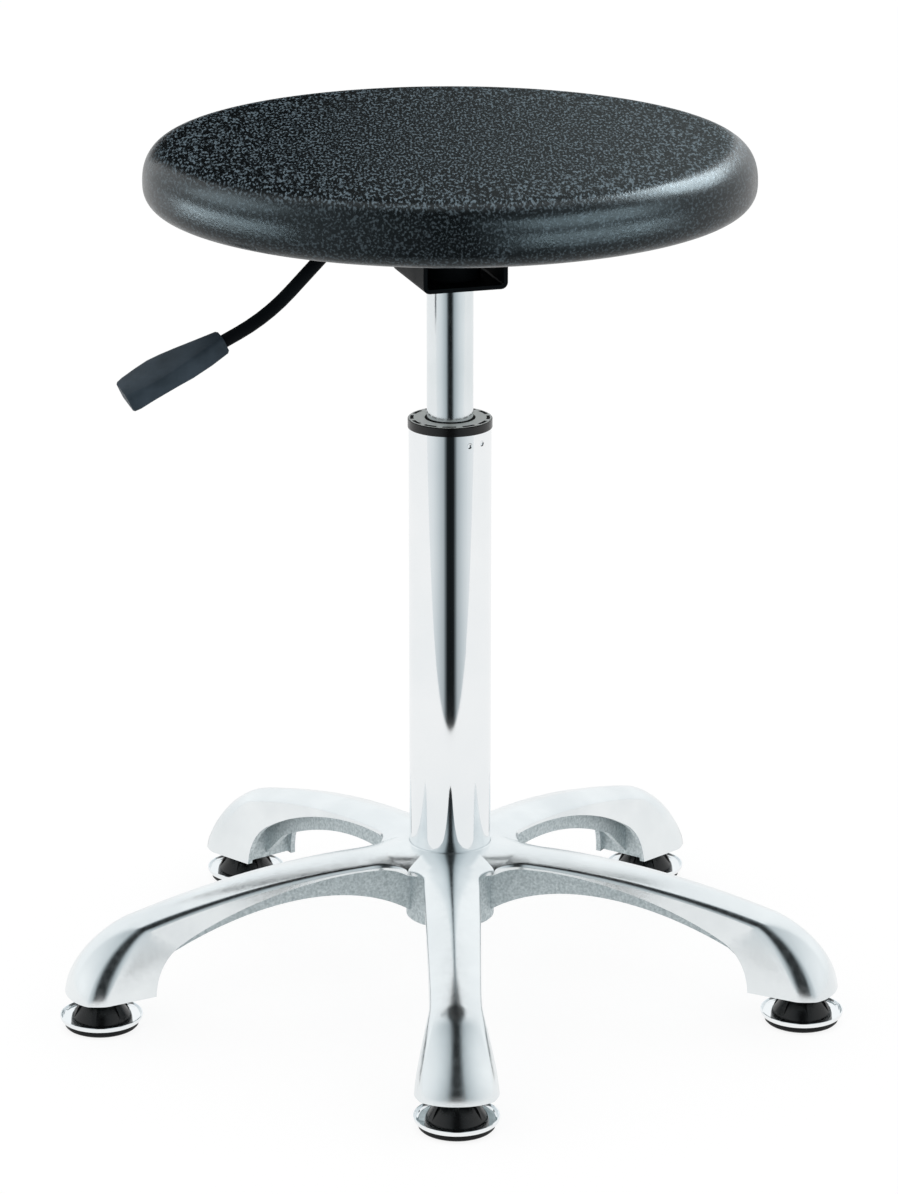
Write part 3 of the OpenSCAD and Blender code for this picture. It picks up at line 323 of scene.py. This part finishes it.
# one face closes the middle of the crown, and one closes the hollow over the board
faces.append([k * count for k in range(STEPS)])
faces.append([(STEPS - 1 - k) * count + count - 1 for k in range(STEPS)])
cushion = new_piece("seat_cushion_skin", skin_points.reshape(-1, 3), faces, seat_skin)
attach(cushion, "seat")
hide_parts("seat_cushion", "seat_core")
print("cushion points:", len(cushion.data.vertices))

# %% [markdown]
# ## The cast base
# The base is one aluminium casting: a thin skin that is polished above and left as cast
# below. An arm can be swept along its own rails. One rail runs along the crown, one along
# the shoulder and one along the foot of the side wall, and each is a pair of cubic curves
# that meet at the bend above the foot. Between two arms the skin runs on as a web with a
# rounded crotch. Every station along the arm is a closed loop of points, and the loops of
# all five arms join into one shell.

# %% Rails of one arm
REACH, FOOT_Z, HUB_TOP, ARM_W, NECK_W, TOE_W = 245.3, 22.0, 93.8, 33.0, 30.0, 50.6
CROTCH_R, SKIN, WALL, DROP, SHOULDER, ARM_START = 22.9, 3.2, 3.4, 3.5, 3.0, 26.0
ARMS, SECTOR, HALF, NECK = 5, math.radians(36), ARM_W / 2, NECK_W / 2
crotch_at = (HALF + 0.5 + CROTCH_R) / math.sin(SECTOR)
crotch_in = crotch_at - CROTCH_R
meet = np.array([crotch_at * math.cos(SECTOR), crotch_at * math.sin(SECTOR) - CROTCH_R])
meet_r = np.hypot(*meet)
WEB_END, CROTCH_END, ARM_END, FOOT_END = 3.0, 7.0, 17.0, 25.0


def at(reach, rise, width=0.0, lift=0.0):
    """A rail point from shares of the arm's reach and of the hub's height: (distance, height, half width)."""
    return [reach * REACH, FOOT_Z + rise * (HUB_TOP - FOOT_Z) + lift, width]


def cubic(p, t, slope=False):
    """Cubic curve through four points, weighted (1-t)^3, 3t(1-t)^2, 3t^2(1-t) and t^3, or its slope."""
    t = np.asarray(t)[:, None]
    if slope:
        return 3 * ((p[1] - p[0]) * (1 - t) ** 2 + 2 * (p[2] - p[1]) * t * (1 - t) + (p[3] - p[2]) * t ** 2)
    return p[0] * (1 - t) ** 3 + 3 * p[1] * t * (1 - t) ** 2 + 3 * p[2] * t ** 2 * (1 - t) + p[3] * t ** 3


def mix(a, b, t):
    """The value a share t of the way from a to b."""
    return a + (b - a) * t


ridge = at(0, 0.976)[1]
bend = at(0.811, 0.642, NECK, -DROP)
crown_rail = np.array([[meet_r, ridge, 0], at(0.428, 0.958), at(0.632, 0.845), at(0.828, 0.645),
                       at(0.905, 0.564), at(0.991, 0.334), at(1, 0)])
edge_rail = np.array([[meet[0], ridge - DROP, meet[1]], at(0.416, 0.962, HALF + 0.5, -DROP),
                      at(0.616, 0.85, NECK + 0.6, -DROP), bend,
                      at(0.856, 0.595, NECK + 2, -DROP), at(0.924, 0.195, TOE_W / 2 - 0.7), at(0.934, 0, TOE_W / 2)])
wall_rail = np.array([[meet[0], ridge - DROP - SKIN, meet[1]], at(0.387, 0.898, HALF + 0.5),
                      at(0.591, 0.696, NECK + 0.7), at(0.726, 0.411, NECK + 0.2), at(0.763, 0.332, NECK + 1.4),
                      at(0.789, 0.195, NECK + 3), at(0.792, 0, NECK + 3.8)])
print("rails from", round(meet_r, 1), "to", REACH, "mm")


# %% Stations along an arm
# how round the crown is at these distances from the axis: half the width of its rounded ridge, in mm
RIDGE_AT = [25, 48, 60, 80, 102, 130, 170, 203, 246]
RIDGE_ROUND = [14, 8.2, 6.2, 4.8, 3.1, 2.2, 2, 3, 8]


def stations(g):
    """Crown, shoulder and wall foot of each station, its outward direction, its fullness and its corner radius.
    g counts along the arm: the web ends at 3, the crotch at 7, the arm at 17 and the foot at 25."""
    web = g.clip(0, CROTCH_END)
    r = np.interp(web, [0, 1, 2, 3], [ARM_START, mix(ARM_START, crotch_in, 0.45), crotch_in - 2, crotch_in])
    round_crotch = ((web - WEB_END) / (CROTCH_END - WEB_END)).clip(0, 1)
    a = mix(math.pi + SECTOR, 1.5 * math.pi, round_crotch)
    x = np.where(web <= WEB_END, r * math.cos(SECTOR), crotch_at * math.cos(SECTOR) + CROTCH_R * np.cos(a))
    y = np.where(web <= WEB_END, r * math.sin(SECTOR), crotch_at * math.sin(SECTOR) + CROTCH_R * np.sin(a))
    r = np.hypot(x, y)
    top = mix(HUB_TOP - 0.3, ridge, (r - ARM_START) / (meet_r - ARM_START))
    low = top - DROP * (y / meet[1]) ** 1.2 * ((r - ARM_START) / (crotch_in - ARM_START)).clip(0, 1)
    crown, edge = np.stack([r, top, 0 * r], 1), np.stack([x, low, y], 1)
    wall = edge - [0, SKIN, 0]
    out = np.stack([0.03 * round_crotch, 1 + 0 * g], 1)
    t = ((g - CROTCH_END) / (ARM_END - CROTCH_END)).clip(0, 1)
    u = ((g - ARM_END) / (FOOT_END - ARM_END)).clip(0, 1)
    for rail, here, share, turned_out in ((slice(0, 4), (g > CROTCH_END) & (g <= ARM_END), t, 0),
                                          (slice(3, 7), g > ARM_END, u, 1)):
        crown[here], edge[here], wall[here] = (cubic(c[rail], share[here]) for c in (crown_rail, edge_rail, wall_rail))
        d = cubic(crown_rail[rail], share[here], slope=True)
        d /= np.hypot(d[:, 0], d[:, 1])[:, None]
        out[here] = np.stack([-d[:, 1], d[:, 0] * (1 - turned_out * share[here] ** 2)], 1)
    corner = np.where(g < WEB_END, 0.8, mix(1.5, 2.4, round_crotch))
    corner = np.where(g > CROTCH_END, mix(2.4, SHOULDER, (3 * t).clip(0, 1)) + 0.3 * SHOULDER * u, corner)
    return crown, edge, wall, out, 1 + 0.2 * t + 0.8 * u, corner


def across(station, s):
    """Points of the crown at the shares s of its half width. The height falls like a roof with a rounded ridge,
    (sqrt(s^2 + k^2) - k) / (sqrt(1 + k^2) - k), and the fullness turns that into a bulge over the foot."""
    crown, edge, _, _, full, _ = station
    k = (np.interp(crown[:, 0], RIDGE_AT, RIDGE_ROUND) / edge[:, 2])[:, None]
    roof = (np.sqrt(s ** 2 + k ** 2) - k) / (np.sqrt(1 + k ** 2) - k)
    along, down = (1 - s ** 2).clip(0) ** (1 / full[:, None]), (1 - roof).clip(0) ** (1 / full[:, None])
    return np.stack([mix(edge[:, :1], crown[:, :1], along), edge[:, 2:] * s,
                     mix(edge[:, 1:2], crown[:, 1:2], down)], -1)


# %% Loops of points round the casting
N_CROWN, N_CORNER, N_WALL = 20, 6, 5
SIDE = N_CROWN + N_CORNER + N_WALL


def steps(n):
    """n equal steps from 0 to 1, without the 0."""
    return np.linspace(0, 1, n + 1)[1:]


def line(a, b, t):
    """Points on the way from each a to each b."""
    return a[:, None] + (b - a)[:, None] * t[None, :, None]


def eased(widths, g):
    """Round the bend above the foot: each width becomes the mean of its neighbours, weighted 1 - distance / 2."""
    near = (1 - abs(g[:, None] - g) / 2).clip(0)
    return mix(widths, near @ widths / near.sum(1), np.interp(g, [11, 14, 19, 22], [0, 1, 1, 0]))


def half_loops(g):
    """Outer and inner half of every station, from the crown to the foot of the wall, as (distance, across, height)."""
    station = crown, edge, wall, out, _, corner = stations(g)
    edge[:, 2], wall[:, 2] = eased(edge[:, 2], g), eased(wall[:, 2], g)
    k, b = edge[:, [0, 2, 1]], wall[:, [0, 2, 1]]
    s0 = (1 - corner / edge[:, 2])[:, None]
    top = across(station, s0 * np.linspace(0, 1, N_CROWN + 1)[None])
    low = k + (b - k) * np.minimum(0.6, corner / np.linalg.norm(b - k, axis=1))[:, None]
    u = steps(N_CORNER)[None, :, None]
    fillet = top[:, -1:] * (1 - u) ** 2 + 2 * k[:, None] * u * (1 - u) + low[:, None] * u ** 2
    flat = across(station, mix(s0, 1, steps(N_CORNER)[None]))
    side = line(low, b, steps(N_WALL))
    web = g < WEB_END
    first, last = np.flatnonzero(~web)[0], np.flatnonzero(g <= 2)[-1]
    tip, tip_flat = np.concatenate([top[first], fillet[first]]), np.concatenate([top[first], flat[first]])
    fillet[web] = flat[web]
    side[web, :-1] = k[web][:, None]
    outer = np.concatenate([top, fillet, side], 1)
    # the web rolls over into the crotch: a quadratic curve between its last station and the first one of the crotch
    roll = np.flatnonzero(web & (g > 2))
    v = (g[roll] - 2)[:, None, None]
    outer[roll, :len(tip)] = outer[last, :len(tip)] * (1 - v) ** 2 + 2 * tip_flat * v * (1 - v) + tip * v ** 2
    inside = ((edge[:, 2:] - WALL - 1) / edge[:, 2:]) * np.linspace(0, 1, N_CROWN + 1)[None]
    ceiling = across(station, inside) - SKIN * np.stack([out[:, 0], 0 * g, out[:, 1]], 1)[:, None]
    foot = b - [0, WALL, 0]
    foot[:, 0] += np.where(g <= CROTCH_END, (crown[:, 0] - edge[:, 0]) * (1 - (foot[:, 1] / edge[:, 2]) ** 2), 0)
    return outer, np.concatenate([ceiling, line(ceiling[:, -1], foot, steps(N_CORNER + N_WALL))], 1)


# stations lie closer where the casting bends more
STRETCHES = [(2, WEB_END, 8), (WEB_END, CROTCH_END, 18), (CROTCH_END, ARM_END, 58), (ARM_END, FOOT_END, 46)]
g = np.concatenate([np.linspace(0, 2, 9), *(low + (high - low) * steps(n) for low, high, n in STRETCHES)])
outer, inner = half_loops(g)
flip_side = np.array([1, -1, 1])
loops = np.concatenate([outer[:, :0:-1] * flip_side, outer, inner[:, ::-1], inner[:, 1:] * flip_side], 1)
ROWS, LOOP = loops.shape[:2]
print("one arm:", ROWS, "stations of", LOOP, "points")


# %% Join the five arms into one shell
def turned_copies(points, count, start=-90.0):
    """Copies of points turned round the z axis in equal steps: x' = x cos a - y sin a, y' = x sin a + y cos a."""
    a = np.radians(360 / count * np.arange(count) + start).reshape(-1, *[1] * (points.ndim - 1))
    x, y, z = np.moveaxis(points, -1, 0)
    return np.stack([x * np.cos(a) - y * np.sin(a), x * np.sin(a) + y * np.cos(a), z + 0 * a], -1)


def joined(points, faces):
    """Points that fall together within a micrometre become one, and a face that this closes up is dropped."""
    spots, index = np.unique(np.round(points * 1e3).astype(np.int64), axis=0, return_inverse=True)
    rings = [[v for n, v in enumerate(f) if v != f[n - 1]] for f in index.ravel()[faces].tolist()]
    return spots * 1e-3, rings


# each station is one closed loop of points, and the loops join up into quads along the arm
quads = grid_faces(ROWS, LOOP, wrap_cols=True)
row, col = np.repeat(np.arange(ROWS - 1), LOOP), np.tile(np.arange(LOOP), ROWS - 1)
wall_col = (col < N_WALL) | ((col >= 2 * SIDE - N_WALL) & (col < 2 * SIDE))
kept = ~(wall_col & (row < np.count_nonzero(g < WEB_END)))
rough = col[kept] >= 2 * SIDE
m = np.arange(2 * SIDE)
# both ends of an arm are closed between the outer half of the loop and the inner one
hub_end = np.stack([m, m + 1, LOOP - 2 - m, LOOP - 1 - m], 1)
toe_end = hub_end[:, ::-1] + (ROWS - 1) * LOOP
one_arm = np.concatenate([quads[kept], hub_end, toe_end])
all_arms = (one_arm[None] + (np.arange(ARMS) * ROWS * LOOP)[:, None, None]).reshape(-1, 4)
spots, rings = joined(turned_copies(loops, ARMS).reshape(-1, 3), all_arms)
is_rough = np.tile(np.concatenate([rough, np.ones(4 * SIDE, bool)]), ARMS)
kept_rings = [(ring, r) for ring, r in zip(rings, is_rough) if len(ring) > 2]
cast_arms = new_piece("cast_arms", spots * MM, [ring for ring, _ in kept_rings], polished, rough_cast)
cast_arms.data.polygons.foreach_set("material_index", np.array([int(r) for _, r in kept_rings], np.int32))
print("cast arms:", len(cast_arms.data.vertices), "points,", len(cast_arms.data.polygons), "faces")

# %% [markdown]
# ## Under the casting
# A real base is stiffened below: a skirt round the tube, one rib down the middle of each
# arm, a wall across the foot and a boss that takes the glide's stem. Ribs and walls are
# plates between two curves, and the skirt and the bosses are turned profiles. Only the
# rim of the hub is polished, and the rest carries the rough cast finish.

# %% Ribs, walls and bosses
RIB_T, BOSS_R, SOCKET_R, SOCKET_LEN, GLIDE_R, HUB_LOW, HUB_R = 4.0, 9.5, 5.6, 22.2, 224.0, 45.0, 27.1
BOSS_TOP = FOOT_Z + SOCKET_LEN + 3


def plate(top, low, thick):
    """A flat plate on the arm's middle plane between two curves of (distance, height) points: each loop has four
    points, at half the thickness to either side of the upper and of the lower curve."""
    r = np.stack([top[:, 0], top[:, 0], low[:, 0], low[:, 0]], 1)
    z = np.stack([top[:, 1], top[:, 1], low[:, 1], low[:, 1]], 1)
    return np.stack([r, np.array([-1, 1, 1, -1]) * thick / 2 + 0 * r, z], -1)


RIB_START, BOSS_SIDE = 25.6, GLIDE_R - BOSS_R + 2.5
r = np.concatenate([np.linspace(RIB_START, BOSS_SIDE - 0.05, 60), np.linspace(BOSS_SIDE, GLIDE_R + BOSS_R - 1.2, 12)])
sample = np.linspace(0, 1, 200)
crown_line = np.concatenate([cubic(crown_rail[:4], sample), cubic(crown_rail[3:], sample[1:])])
slope_line = np.concatenate([cubic(crown_rail[:4], sample, True), cubic(crown_rail[3:], sample[1:], True)])
slope_line /= np.hypot(slope_line[:, 0], slope_line[:, 1])[:, None]
mid_skin = crown_line[:, :2] + SKIN / 2 * slope_line[:, [1, 0]] * [1, -1]
rib_rail = np.array([[RIB_START, at(0, 0.39)[1]], at(0.253, 0.738)[:2], at(0.489, 0.696)[:2], at(0.726, 0.292)[:2]])
rib_curve = cubic(rib_rail, sample)
rib_top = np.interp(r, [RIB_START, *mid_skin[:, 0]], [HUB_TOP - 2.2, *mid_skin[:, 1]])
rib_low = np.interp(r, [*rib_curve[:, 0], at(0.811, 0)[0]], [*rib_curve[:, 1], FOOT_Z + 2])
# over the boss the rib ends inside it
rib_low = np.where(r > BOSS_SIDE - 0.03, BOSS_TOP - 1, rib_low)
ribs = turned_copies(plate(np.stack([r, rib_top], 1), np.stack([r, rib_low], 1), RIB_T), ARMS)
across_foot = np.array([at(0.807, 0)[0], at(0.807, 0)[0] + 3.5])
wall_w = 2 * (NECK + 3.8) - 2
foot_walls = turned_copies(plate(np.stack([across_foot, [FOOT_Z + 20] * 2], 1),
                                 np.stack([across_foot, [FOOT_Z + 0.5] * 2], 1), wall_w), ARMS)
print("ribs:", len(ribs), "of", RIB_T, "mm, foot walls:", len(foot_walls))


# %% Turned forms and their faces
# a profile that runs outwards below and back inwards above turns into faces that point outwards
SOCKET_TOP = FOOT_Z + SOCKET_LEN
boss_line = [[BOSS_R, FOOT_Z], [BOSS_R, BOSS_TOP], [0.01, BOSS_TOP], [0.01, SOCKET_TOP],
             [SOCKET_R, SOCKET_TOP], [SOCKET_R, FOOT_Z]]
bosses = turned_copies(turned(boss_line, 64) + [GLIDE_R, 0, 0], ARMS)
hub_line = [[23.86, HUB_LOW], [HUB_R - 0.6, HUB_LOW], [HUB_R, HUB_LOW + 0.6], [HUB_R, HUB_TOP - 10],
            [HUB_R - 0.7, HUB_TOP - 0.4], [HUB_R - 1.1, HUB_TOP], [25.33, HUB_TOP], [25.03, HUB_TOP - 0.4]]
skirt = turned(hub_line, 192)[None]


def loop_faces(grid, ring=False):
    """Faces of every copy of a grid of closed loops. The ends are closed with a face, or join up in a ring."""
    rows, cols = grid.shape[-3:-1]
    body = grid_faces(rows, cols, wrap_rows=ring, wrap_cols=True).tolist()
    if not ring:
        body += [list(range(cols - 1, -1, -1)), list(range((rows - 1) * cols, rows * cols))]
    return [[v + k * rows * cols for v in f] for k in range(len(grid)) for f in body]


for name, grid, ring in (("cast_ribs", ribs, False), ("cast_foot_walls", foot_walls, False),
                         ("cast_bosses", bosses, True), ("cast_hub", skirt, True)):
    piece = new_piece(name, grid.reshape(-1, 3) * MM, loop_faces(grid, ring), rough_cast, polished)
    if name == "cast_hub":
        # the faces above this height are the polished rim
        high = np.array([p.center.z > (HUB_TOP - 12) * MM for p in piece.data.polygons], np.int32)
        piece.data.polygons.foreach_set("material_index", high)
for name in ("cast_arms", "cast_ribs", "cast_foot_walls", "cast_bosses", "cast_hub"):
    piece = bpy.data.objects[name]
    piece.modifiers.new("smooth by angle", "NODES").node_group = smoothing
    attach(piece, "base")
    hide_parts("star_base")
    print(name, len(piece.data.polygons), "faces")

# %% [markdown]
# ## Collar teeth and wiper
# The collar has a ring of black teeth that grip the pale bush, and a rubber wiper keeps
# dust off the sliding cylinder. Both are thin trim on top of the bush, in a dead matt black:
# on the teeth it also paints the shade in the slots between them, and on the wiper it is
# painted shade for the dark gap round the cylinder. They could be painted on as a pattern,
# but their edges would blur. A tooth is a short arc with a square section, so all of them
# come from one grid of closed loops, and the wiper is a turned profile.

# %% Teeth and wiper
# the teeth are drawn in dead matt black, which also paints the shade of the slots between them
COLLAR_TOP, TOOTH_IN, TOOTH_OUT, TOOTH_LIFT, TEETH = 363.4, 22.0, 24.0, 0.08, 12
first_tooth, tooth_half = math.radians(28), math.radians(10)
bend_a = np.linspace(-tooth_half, tooth_half, 9)[:, None] + first_tooth
tooth_r = np.array([TOOTH_IN, TOOTH_OUT, TOOTH_OUT, TOOTH_IN])
tooth_z = COLLAR_TOP + np.array([-0.6, -0.6, TOOTH_LIFT, TOOTH_LIFT])
tooth = np.stack([tooth_r * np.cos(bend_a), tooth_r * np.sin(bend_a), tooth_z + 0 * bend_a], -1)
collar_teeth = turned_copies(tooth, TEETH, 0.0)
gas_r = (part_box("gas_cylinder")[1][0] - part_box("gas_cylinder")[0][0]) / 2 / MM
print("cylinder radius:", round(gas_r, 2), "mm")
wiper_line = gas_r + np.array([0.08, 1.3, 1.3, 0.5, 0.08])
wiper_z = COLLAR_TOP + np.array([-0.5, -0.5, 0.1, 0.5, 0.5])
wiper = turned(np.stack([wiper_line, wiper_z], 1), 96)[None]
# the wiper takes the teeth's dead matt black, which paints the shade of the gap round the cylinder
for name, grid, ring, finish, slot in (("collar_teeth", collar_teeth, False, matt_black_shade, "black_plastic"),
                                       ("wiper_ring", wiper, True, matt_black_shade, "rubber")):
    piece = new_piece(name, grid.reshape(-1, 3) * MM, loop_faces(grid, ring), finish)
    piece.modifiers.new("smooth by angle", "NODES").node_group = smoothing
    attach(piece, "base")
print("teeth:", TEETH, "of", round(2 * math.degrees(tooth_half)), "degrees")

# %% [markdown]
# ## The room
# Chrome shows the room it stands in. The stool was photographed on white, with a table
# edge about half a metre in front of it and the dark side of the room behind the camera,
# so the tubes show a thin dark core between two bright sides. Cards could stand for that
# room, but they would also shade the stool. So the world carries it, for reflections
# only. The camera sees plain white, and everything else is lit by plain white light.

# %% White room
world = bpy.data.worlds.new("white room")
bpy.context.scene.world = world
world.use_nodes = True
t = world.node_tree
t.nodes.clear()
# the world's Generated coordinate is the direction that a ray looks in: X to the right, Y to the back, Z up
direction = add(t, "ShaderNodeTexCoord").outputs["Generated"]
parts = add(t, "ShaderNodeSeparateXYZ", links={"Vector": direction}).outputs
sideways = add(t, "ShaderNodeMath", links={0: parts["X"]}, operation="ABSOLUTE").outputs[0]
# the dark side lies only towards the camera, and has ended where Y is this much to the back
behind = add(t, "ShaderNodeMapRange", {"From Min": 0.05, "From Max": 0.35}, {"Value": parts["Y"]}).outputs[0]
reach = add(t, "ShaderNodeMath", links={0: sideways, 1: behind}, operation="MAXIMUM").outputs[0]
ramp = add(t, "ShaderNodeValToRGB", links={"Fac": reach})
# distance sideways from the dark gap, the grey seen there and how blue it is
room = [(0.0, 0.010, 0.2), (0.15, 0.014, 0.2), (0.23, 0.16, 0.15), (0.32, 0.46, 0.1), (0.5, 0.62, 0.08),
        (0.62, 0.72, 0.06), (0.72, 0.80, 0.05), (0.88, 0.88, 0.03), (1.0, 0.96, 0.02)]
marks = ramp.color_ramp.elements
for n, (place, grey, blue) in enumerate(room):
    mark = marks[0] if n == 0 else marks[-1] if n == len(room) - 1 else marks.new(place)
    mark.position, mark.color = place, (grey * (1 - blue), grey, grey * (1 + blue / 2), 1)
# the room is a little brighter overhead than at its floor
up = add(t, "ShaderNodeMapRange", {"From Min": -0.1, "From Max": 0.25, "To Min": 0.98, "To Max": 1.06},
         {"Value": parts["Z"]}).outputs[0]
rays = add(t, "ShaderNodeLightPath").outputs
WHITE, ROOM_LIGHT = (1, 1, 1, 1), 0.85
plain = add(t, "ShaderNodeBackground", {"Color": WHITE, "Strength": ROOM_LIGHT}).outputs[0]
white = add(t, "ShaderNodeBackground", {"Color": WHITE, "Strength": 1.0}).outputs[0]
mirror = add(t, "ShaderNodeBackground", links={"Color": ramp.outputs["Color"], "Strength": up}).outputs[0]
lit = add(t, "ShaderNodeMixShader", links={0: rays["Is Glossy Ray"], 1: plain, 2: mirror}).outputs[0]
seen = add(t, "ShaderNodeMath", links={0: rays["Is Camera Ray"], 1: rays["Is Transmission Ray"]},
           operation="MAXIMUM").outputs[0]
shown = add(t, "ShaderNodeMixShader", links={0: seen, 1: lit, 2: white}).outputs[0]
add(t, "ShaderNodeOutputWorld", links={"Surface": shown})
print("the room has", len(room), "greys")


# %% Floor and table
# how much of a white sheet's look is its own even glow, the rest being lit paper that takes the shadow
GLOW_SHARE = 0.8


def white_sheet(name, strength):
    """A white surface that the camera and mirrors see at about that strength, and that takes the stool's shadow."""
    mat = bpy.data.materials.new(name)
    mat.use_nodes = True
    tree = mat.node_tree
    shader = tree.nodes["Principled BSDF"]
    shader.inputs["Base Color"].default_value = (0.9, 0.9, 0.9, 1)
    shader.inputs["Roughness"].default_value = 0.9
    shader.inputs["Specular IOR Level"].default_value = 0.1
    glow = add(tree, "ShaderNodeEmission", {"Color": WHITE, "Strength": strength}).outputs[0]
    path = add(tree, "ShaderNodeLightPath").outputs
    seen = add(tree, "ShaderNodeMath", links={0: path["Is Camera Ray"], 1: path["Is Glossy Ray"]},
               operation="MAXIMUM").outputs[0]
    seen = add(tree, "ShaderNodeMath", links={0: path["Is Transmission Ray"], 1: seen},
               operation="MAXIMUM").outputs[0]
    share = add(tree, "ShaderNodeMath", {1: GLOW_SHARE}, {0: seen}, operation="MULTIPLY").outputs[0]
    sheet = add(tree, "ShaderNodeMixShader", links={0: share, 1: shader.outputs[0], 2: glow}).outputs[0]
    tree.links.new(sheet, tree.nodes["Material Output"].inputs["Surface"])
    return mat


def sheet_of(name, x0, x1, y0, y1, z, material):
    """A flat rectangle, drawn as a grid of one face."""
    piece = new_piece(name, [(x0, y0, z), (x1, y0, z), (x1, y1, z), (x0, y1, z)], [[0, 1, 2, 3]], material)
    return piece


# the camera sees an endless floor, and reflections see a table top that ends in front of the stool
floor = sheet_of("studio_floor", -6, 6, -6, 8, 0.0, white_sheet("white paper", 1.08))
floor.visible_glossy = False
TABLE_EDGE, TABLE_Z = -0.50, -0.0005
table_top = sheet_of("table_top", -6, 6, TABLE_EDGE, 8, TABLE_Z, white_sheet("white table", 1.03))
table_top.visible_camera = table_top.visible_diffuse = table_top.visible_shadow = False
print("table edge:", -TABLE_EDGE, "m in front of the stool")

# %% [markdown]
# ## The graded card
# At a low angle even a black skin mirrors the white room, and the seat's top would look
# grey. A photographer sets a dark card behind such a seat. This one is dark on the left
# and grows to grey on the right, and leans over the rear edge, so the top has the same
# soft slope of light. Only reflections show it, and only from near by, so it leaves the
# polished base alone.

# %% Graded card
DARK_X, GREY_X, GREY, NEAR = -0.1, 0.22, 0.26, 0.6
CARD_LEFT, CARD_FOOT, CARD_HEAD = -0.3, (0.3, 0.53), (0.12, 0.88)
shade = bpy.data.materials.new("graded card")
shade.use_nodes = True
t = shade.node_tree
t.nodes.clear()
where = add(t, "ShaderNodeTexCoord").outputs["Object"]
place = add(t, "ShaderNodeSeparateXYZ", links={"Vector": where}).outputs["X"]
tone = add(t, "ShaderNodeMapRange", {"From Min": DARK_X, "From Max": GREY_X, "To Min": 0.0, "To Max": GREY},
           {"Value": place}).outputs[0]
# the card is a trace bluer than the room
glow = add(t, "ShaderNodeEmission", {"Color": (0.9, 1, 1, 1)}, {"Strength": tone}).outputs[0]
# rays from the base come from farther off and pass through it
length = add(t, "ShaderNodeLightPath").outputs["Ray Length"]
near = add(t, "ShaderNodeMath", {1: NEAR}, {0: length}, operation="LESS_THAN").outputs[0]
clear = add(t, "ShaderNodeBsdfTransparent").outputs[0]
seen = add(t, "ShaderNodeMixShader", links={0: near, 1: clear, 2: glow}).outputs[0]
add(t, "ShaderNodeOutputMaterial", links={"Surface": seen})
corners = [(CARD_LEFT, *CARD_FOOT), (GREY_X, *CARD_FOOT), (GREY_X, *CARD_HEAD), (CARD_LEFT, *CARD_HEAD)]
card = new_piece("graded_card", corners, [[0, 1, 2, 3]], shade)
card.visible_camera = card.visible_diffuse = card.visible_shadow = False
print("card:", corners)

# %% [markdown]
# ## Lamps for the seat
# The seat's rim shows three soft highlights: a bright one behind on the right, and a wide
# one on each side of the front. The world alone would leave the rim dull. Soft boxes give
# them, and light linking keeps them off the metal, where they would burn white patches.
# Each side has a low box and a high one, and nothing between: a lamp just above the
# seat's height would turn its flat top white when one looks from the other side.

# %% Lamps
def soft_box(name, place, width, height, glow, only, colour):
    """A lamp that faces the seat and lights only the collection. glow is its brightness, where 1 is white paper:
    power = glow * pi * width * height."""
    data = bpy.data.lights.new(name, "AREA")
    data.shape, data.size, data.size_y, data.energy = "RECTANGLE", width, height, glow * math.pi * width * height
    data.color = colour
    lamp = bpy.data.objects.new(name, data)
    lamp.location = place
    lamp.rotation_euler = (LAMP_TARGET - Vector(place)).to_track_quat("-Z", "Y").to_euler()
    lamp.light_linking.receiver_collection = only
    bpy.context.scene.collection.objects.link(lamp)
    return lamp


LAMP_TARGET = Vector((0, 0, 0.45))
seat_only = bpy.data.collections.new("seat only")
seat_only.objects.link(cushion)
DAYLIGHT = (0.82, 0.94, 1.0)
for name, place, width, height, glow in (("right_box", (1.05, 1.10, 1.70), 1.1, 0.8, 12.0),
                                         ("front_low", (1.55, -1.15, 0.36), 2.2, 0.34, 12.0),
                                         ("front_high", (1.45, -1.05, 1.60), 2.0, 1.1, 6.5),
                                         ("left_low", (-1.90, -0.05, 0.36), 1.8, 0.34, 11.0),
                                         ("left_high", (-1.75, 0.25, 1.60), 1.3, 1.1, 4.0)):
    soft_box(name, place, width, height, glow, seat_only, DAYLIGHT).visible_diffuse = False
    print(name, "at", place)

# %% [markdown]
# ## The camera
# The camera was found by fitting: its place, tilt and lens were changed until the glides,
# the seat's oval and the tube fell where the photograph has them. It stands 2.6 m away
# with a long lens, so the stool keeps its proportions.

# %% Camera
camera_data = bpy.data.cameras.new("camera")
camera_data.sensor_width = 36.0
camera_data.lens = 137.24
# the picture's centre lies 1.1 of its 1194 pixels to one side
camera_data.shift_x = -1.1 / 1194
camera = bpy.data.objects.new("camera", camera_data)
camera.location = (-0.0453, -2.6358, 1.0824)
camera.rotation_euler = (math.radians(90 - 17.519), 0, math.radians(-0.985))
bpy.context.scene.collection.objects.link(camera)
bpy.context.scene.camera = camera
bpy.context.scene.view_settings.view_transform = "Standard"
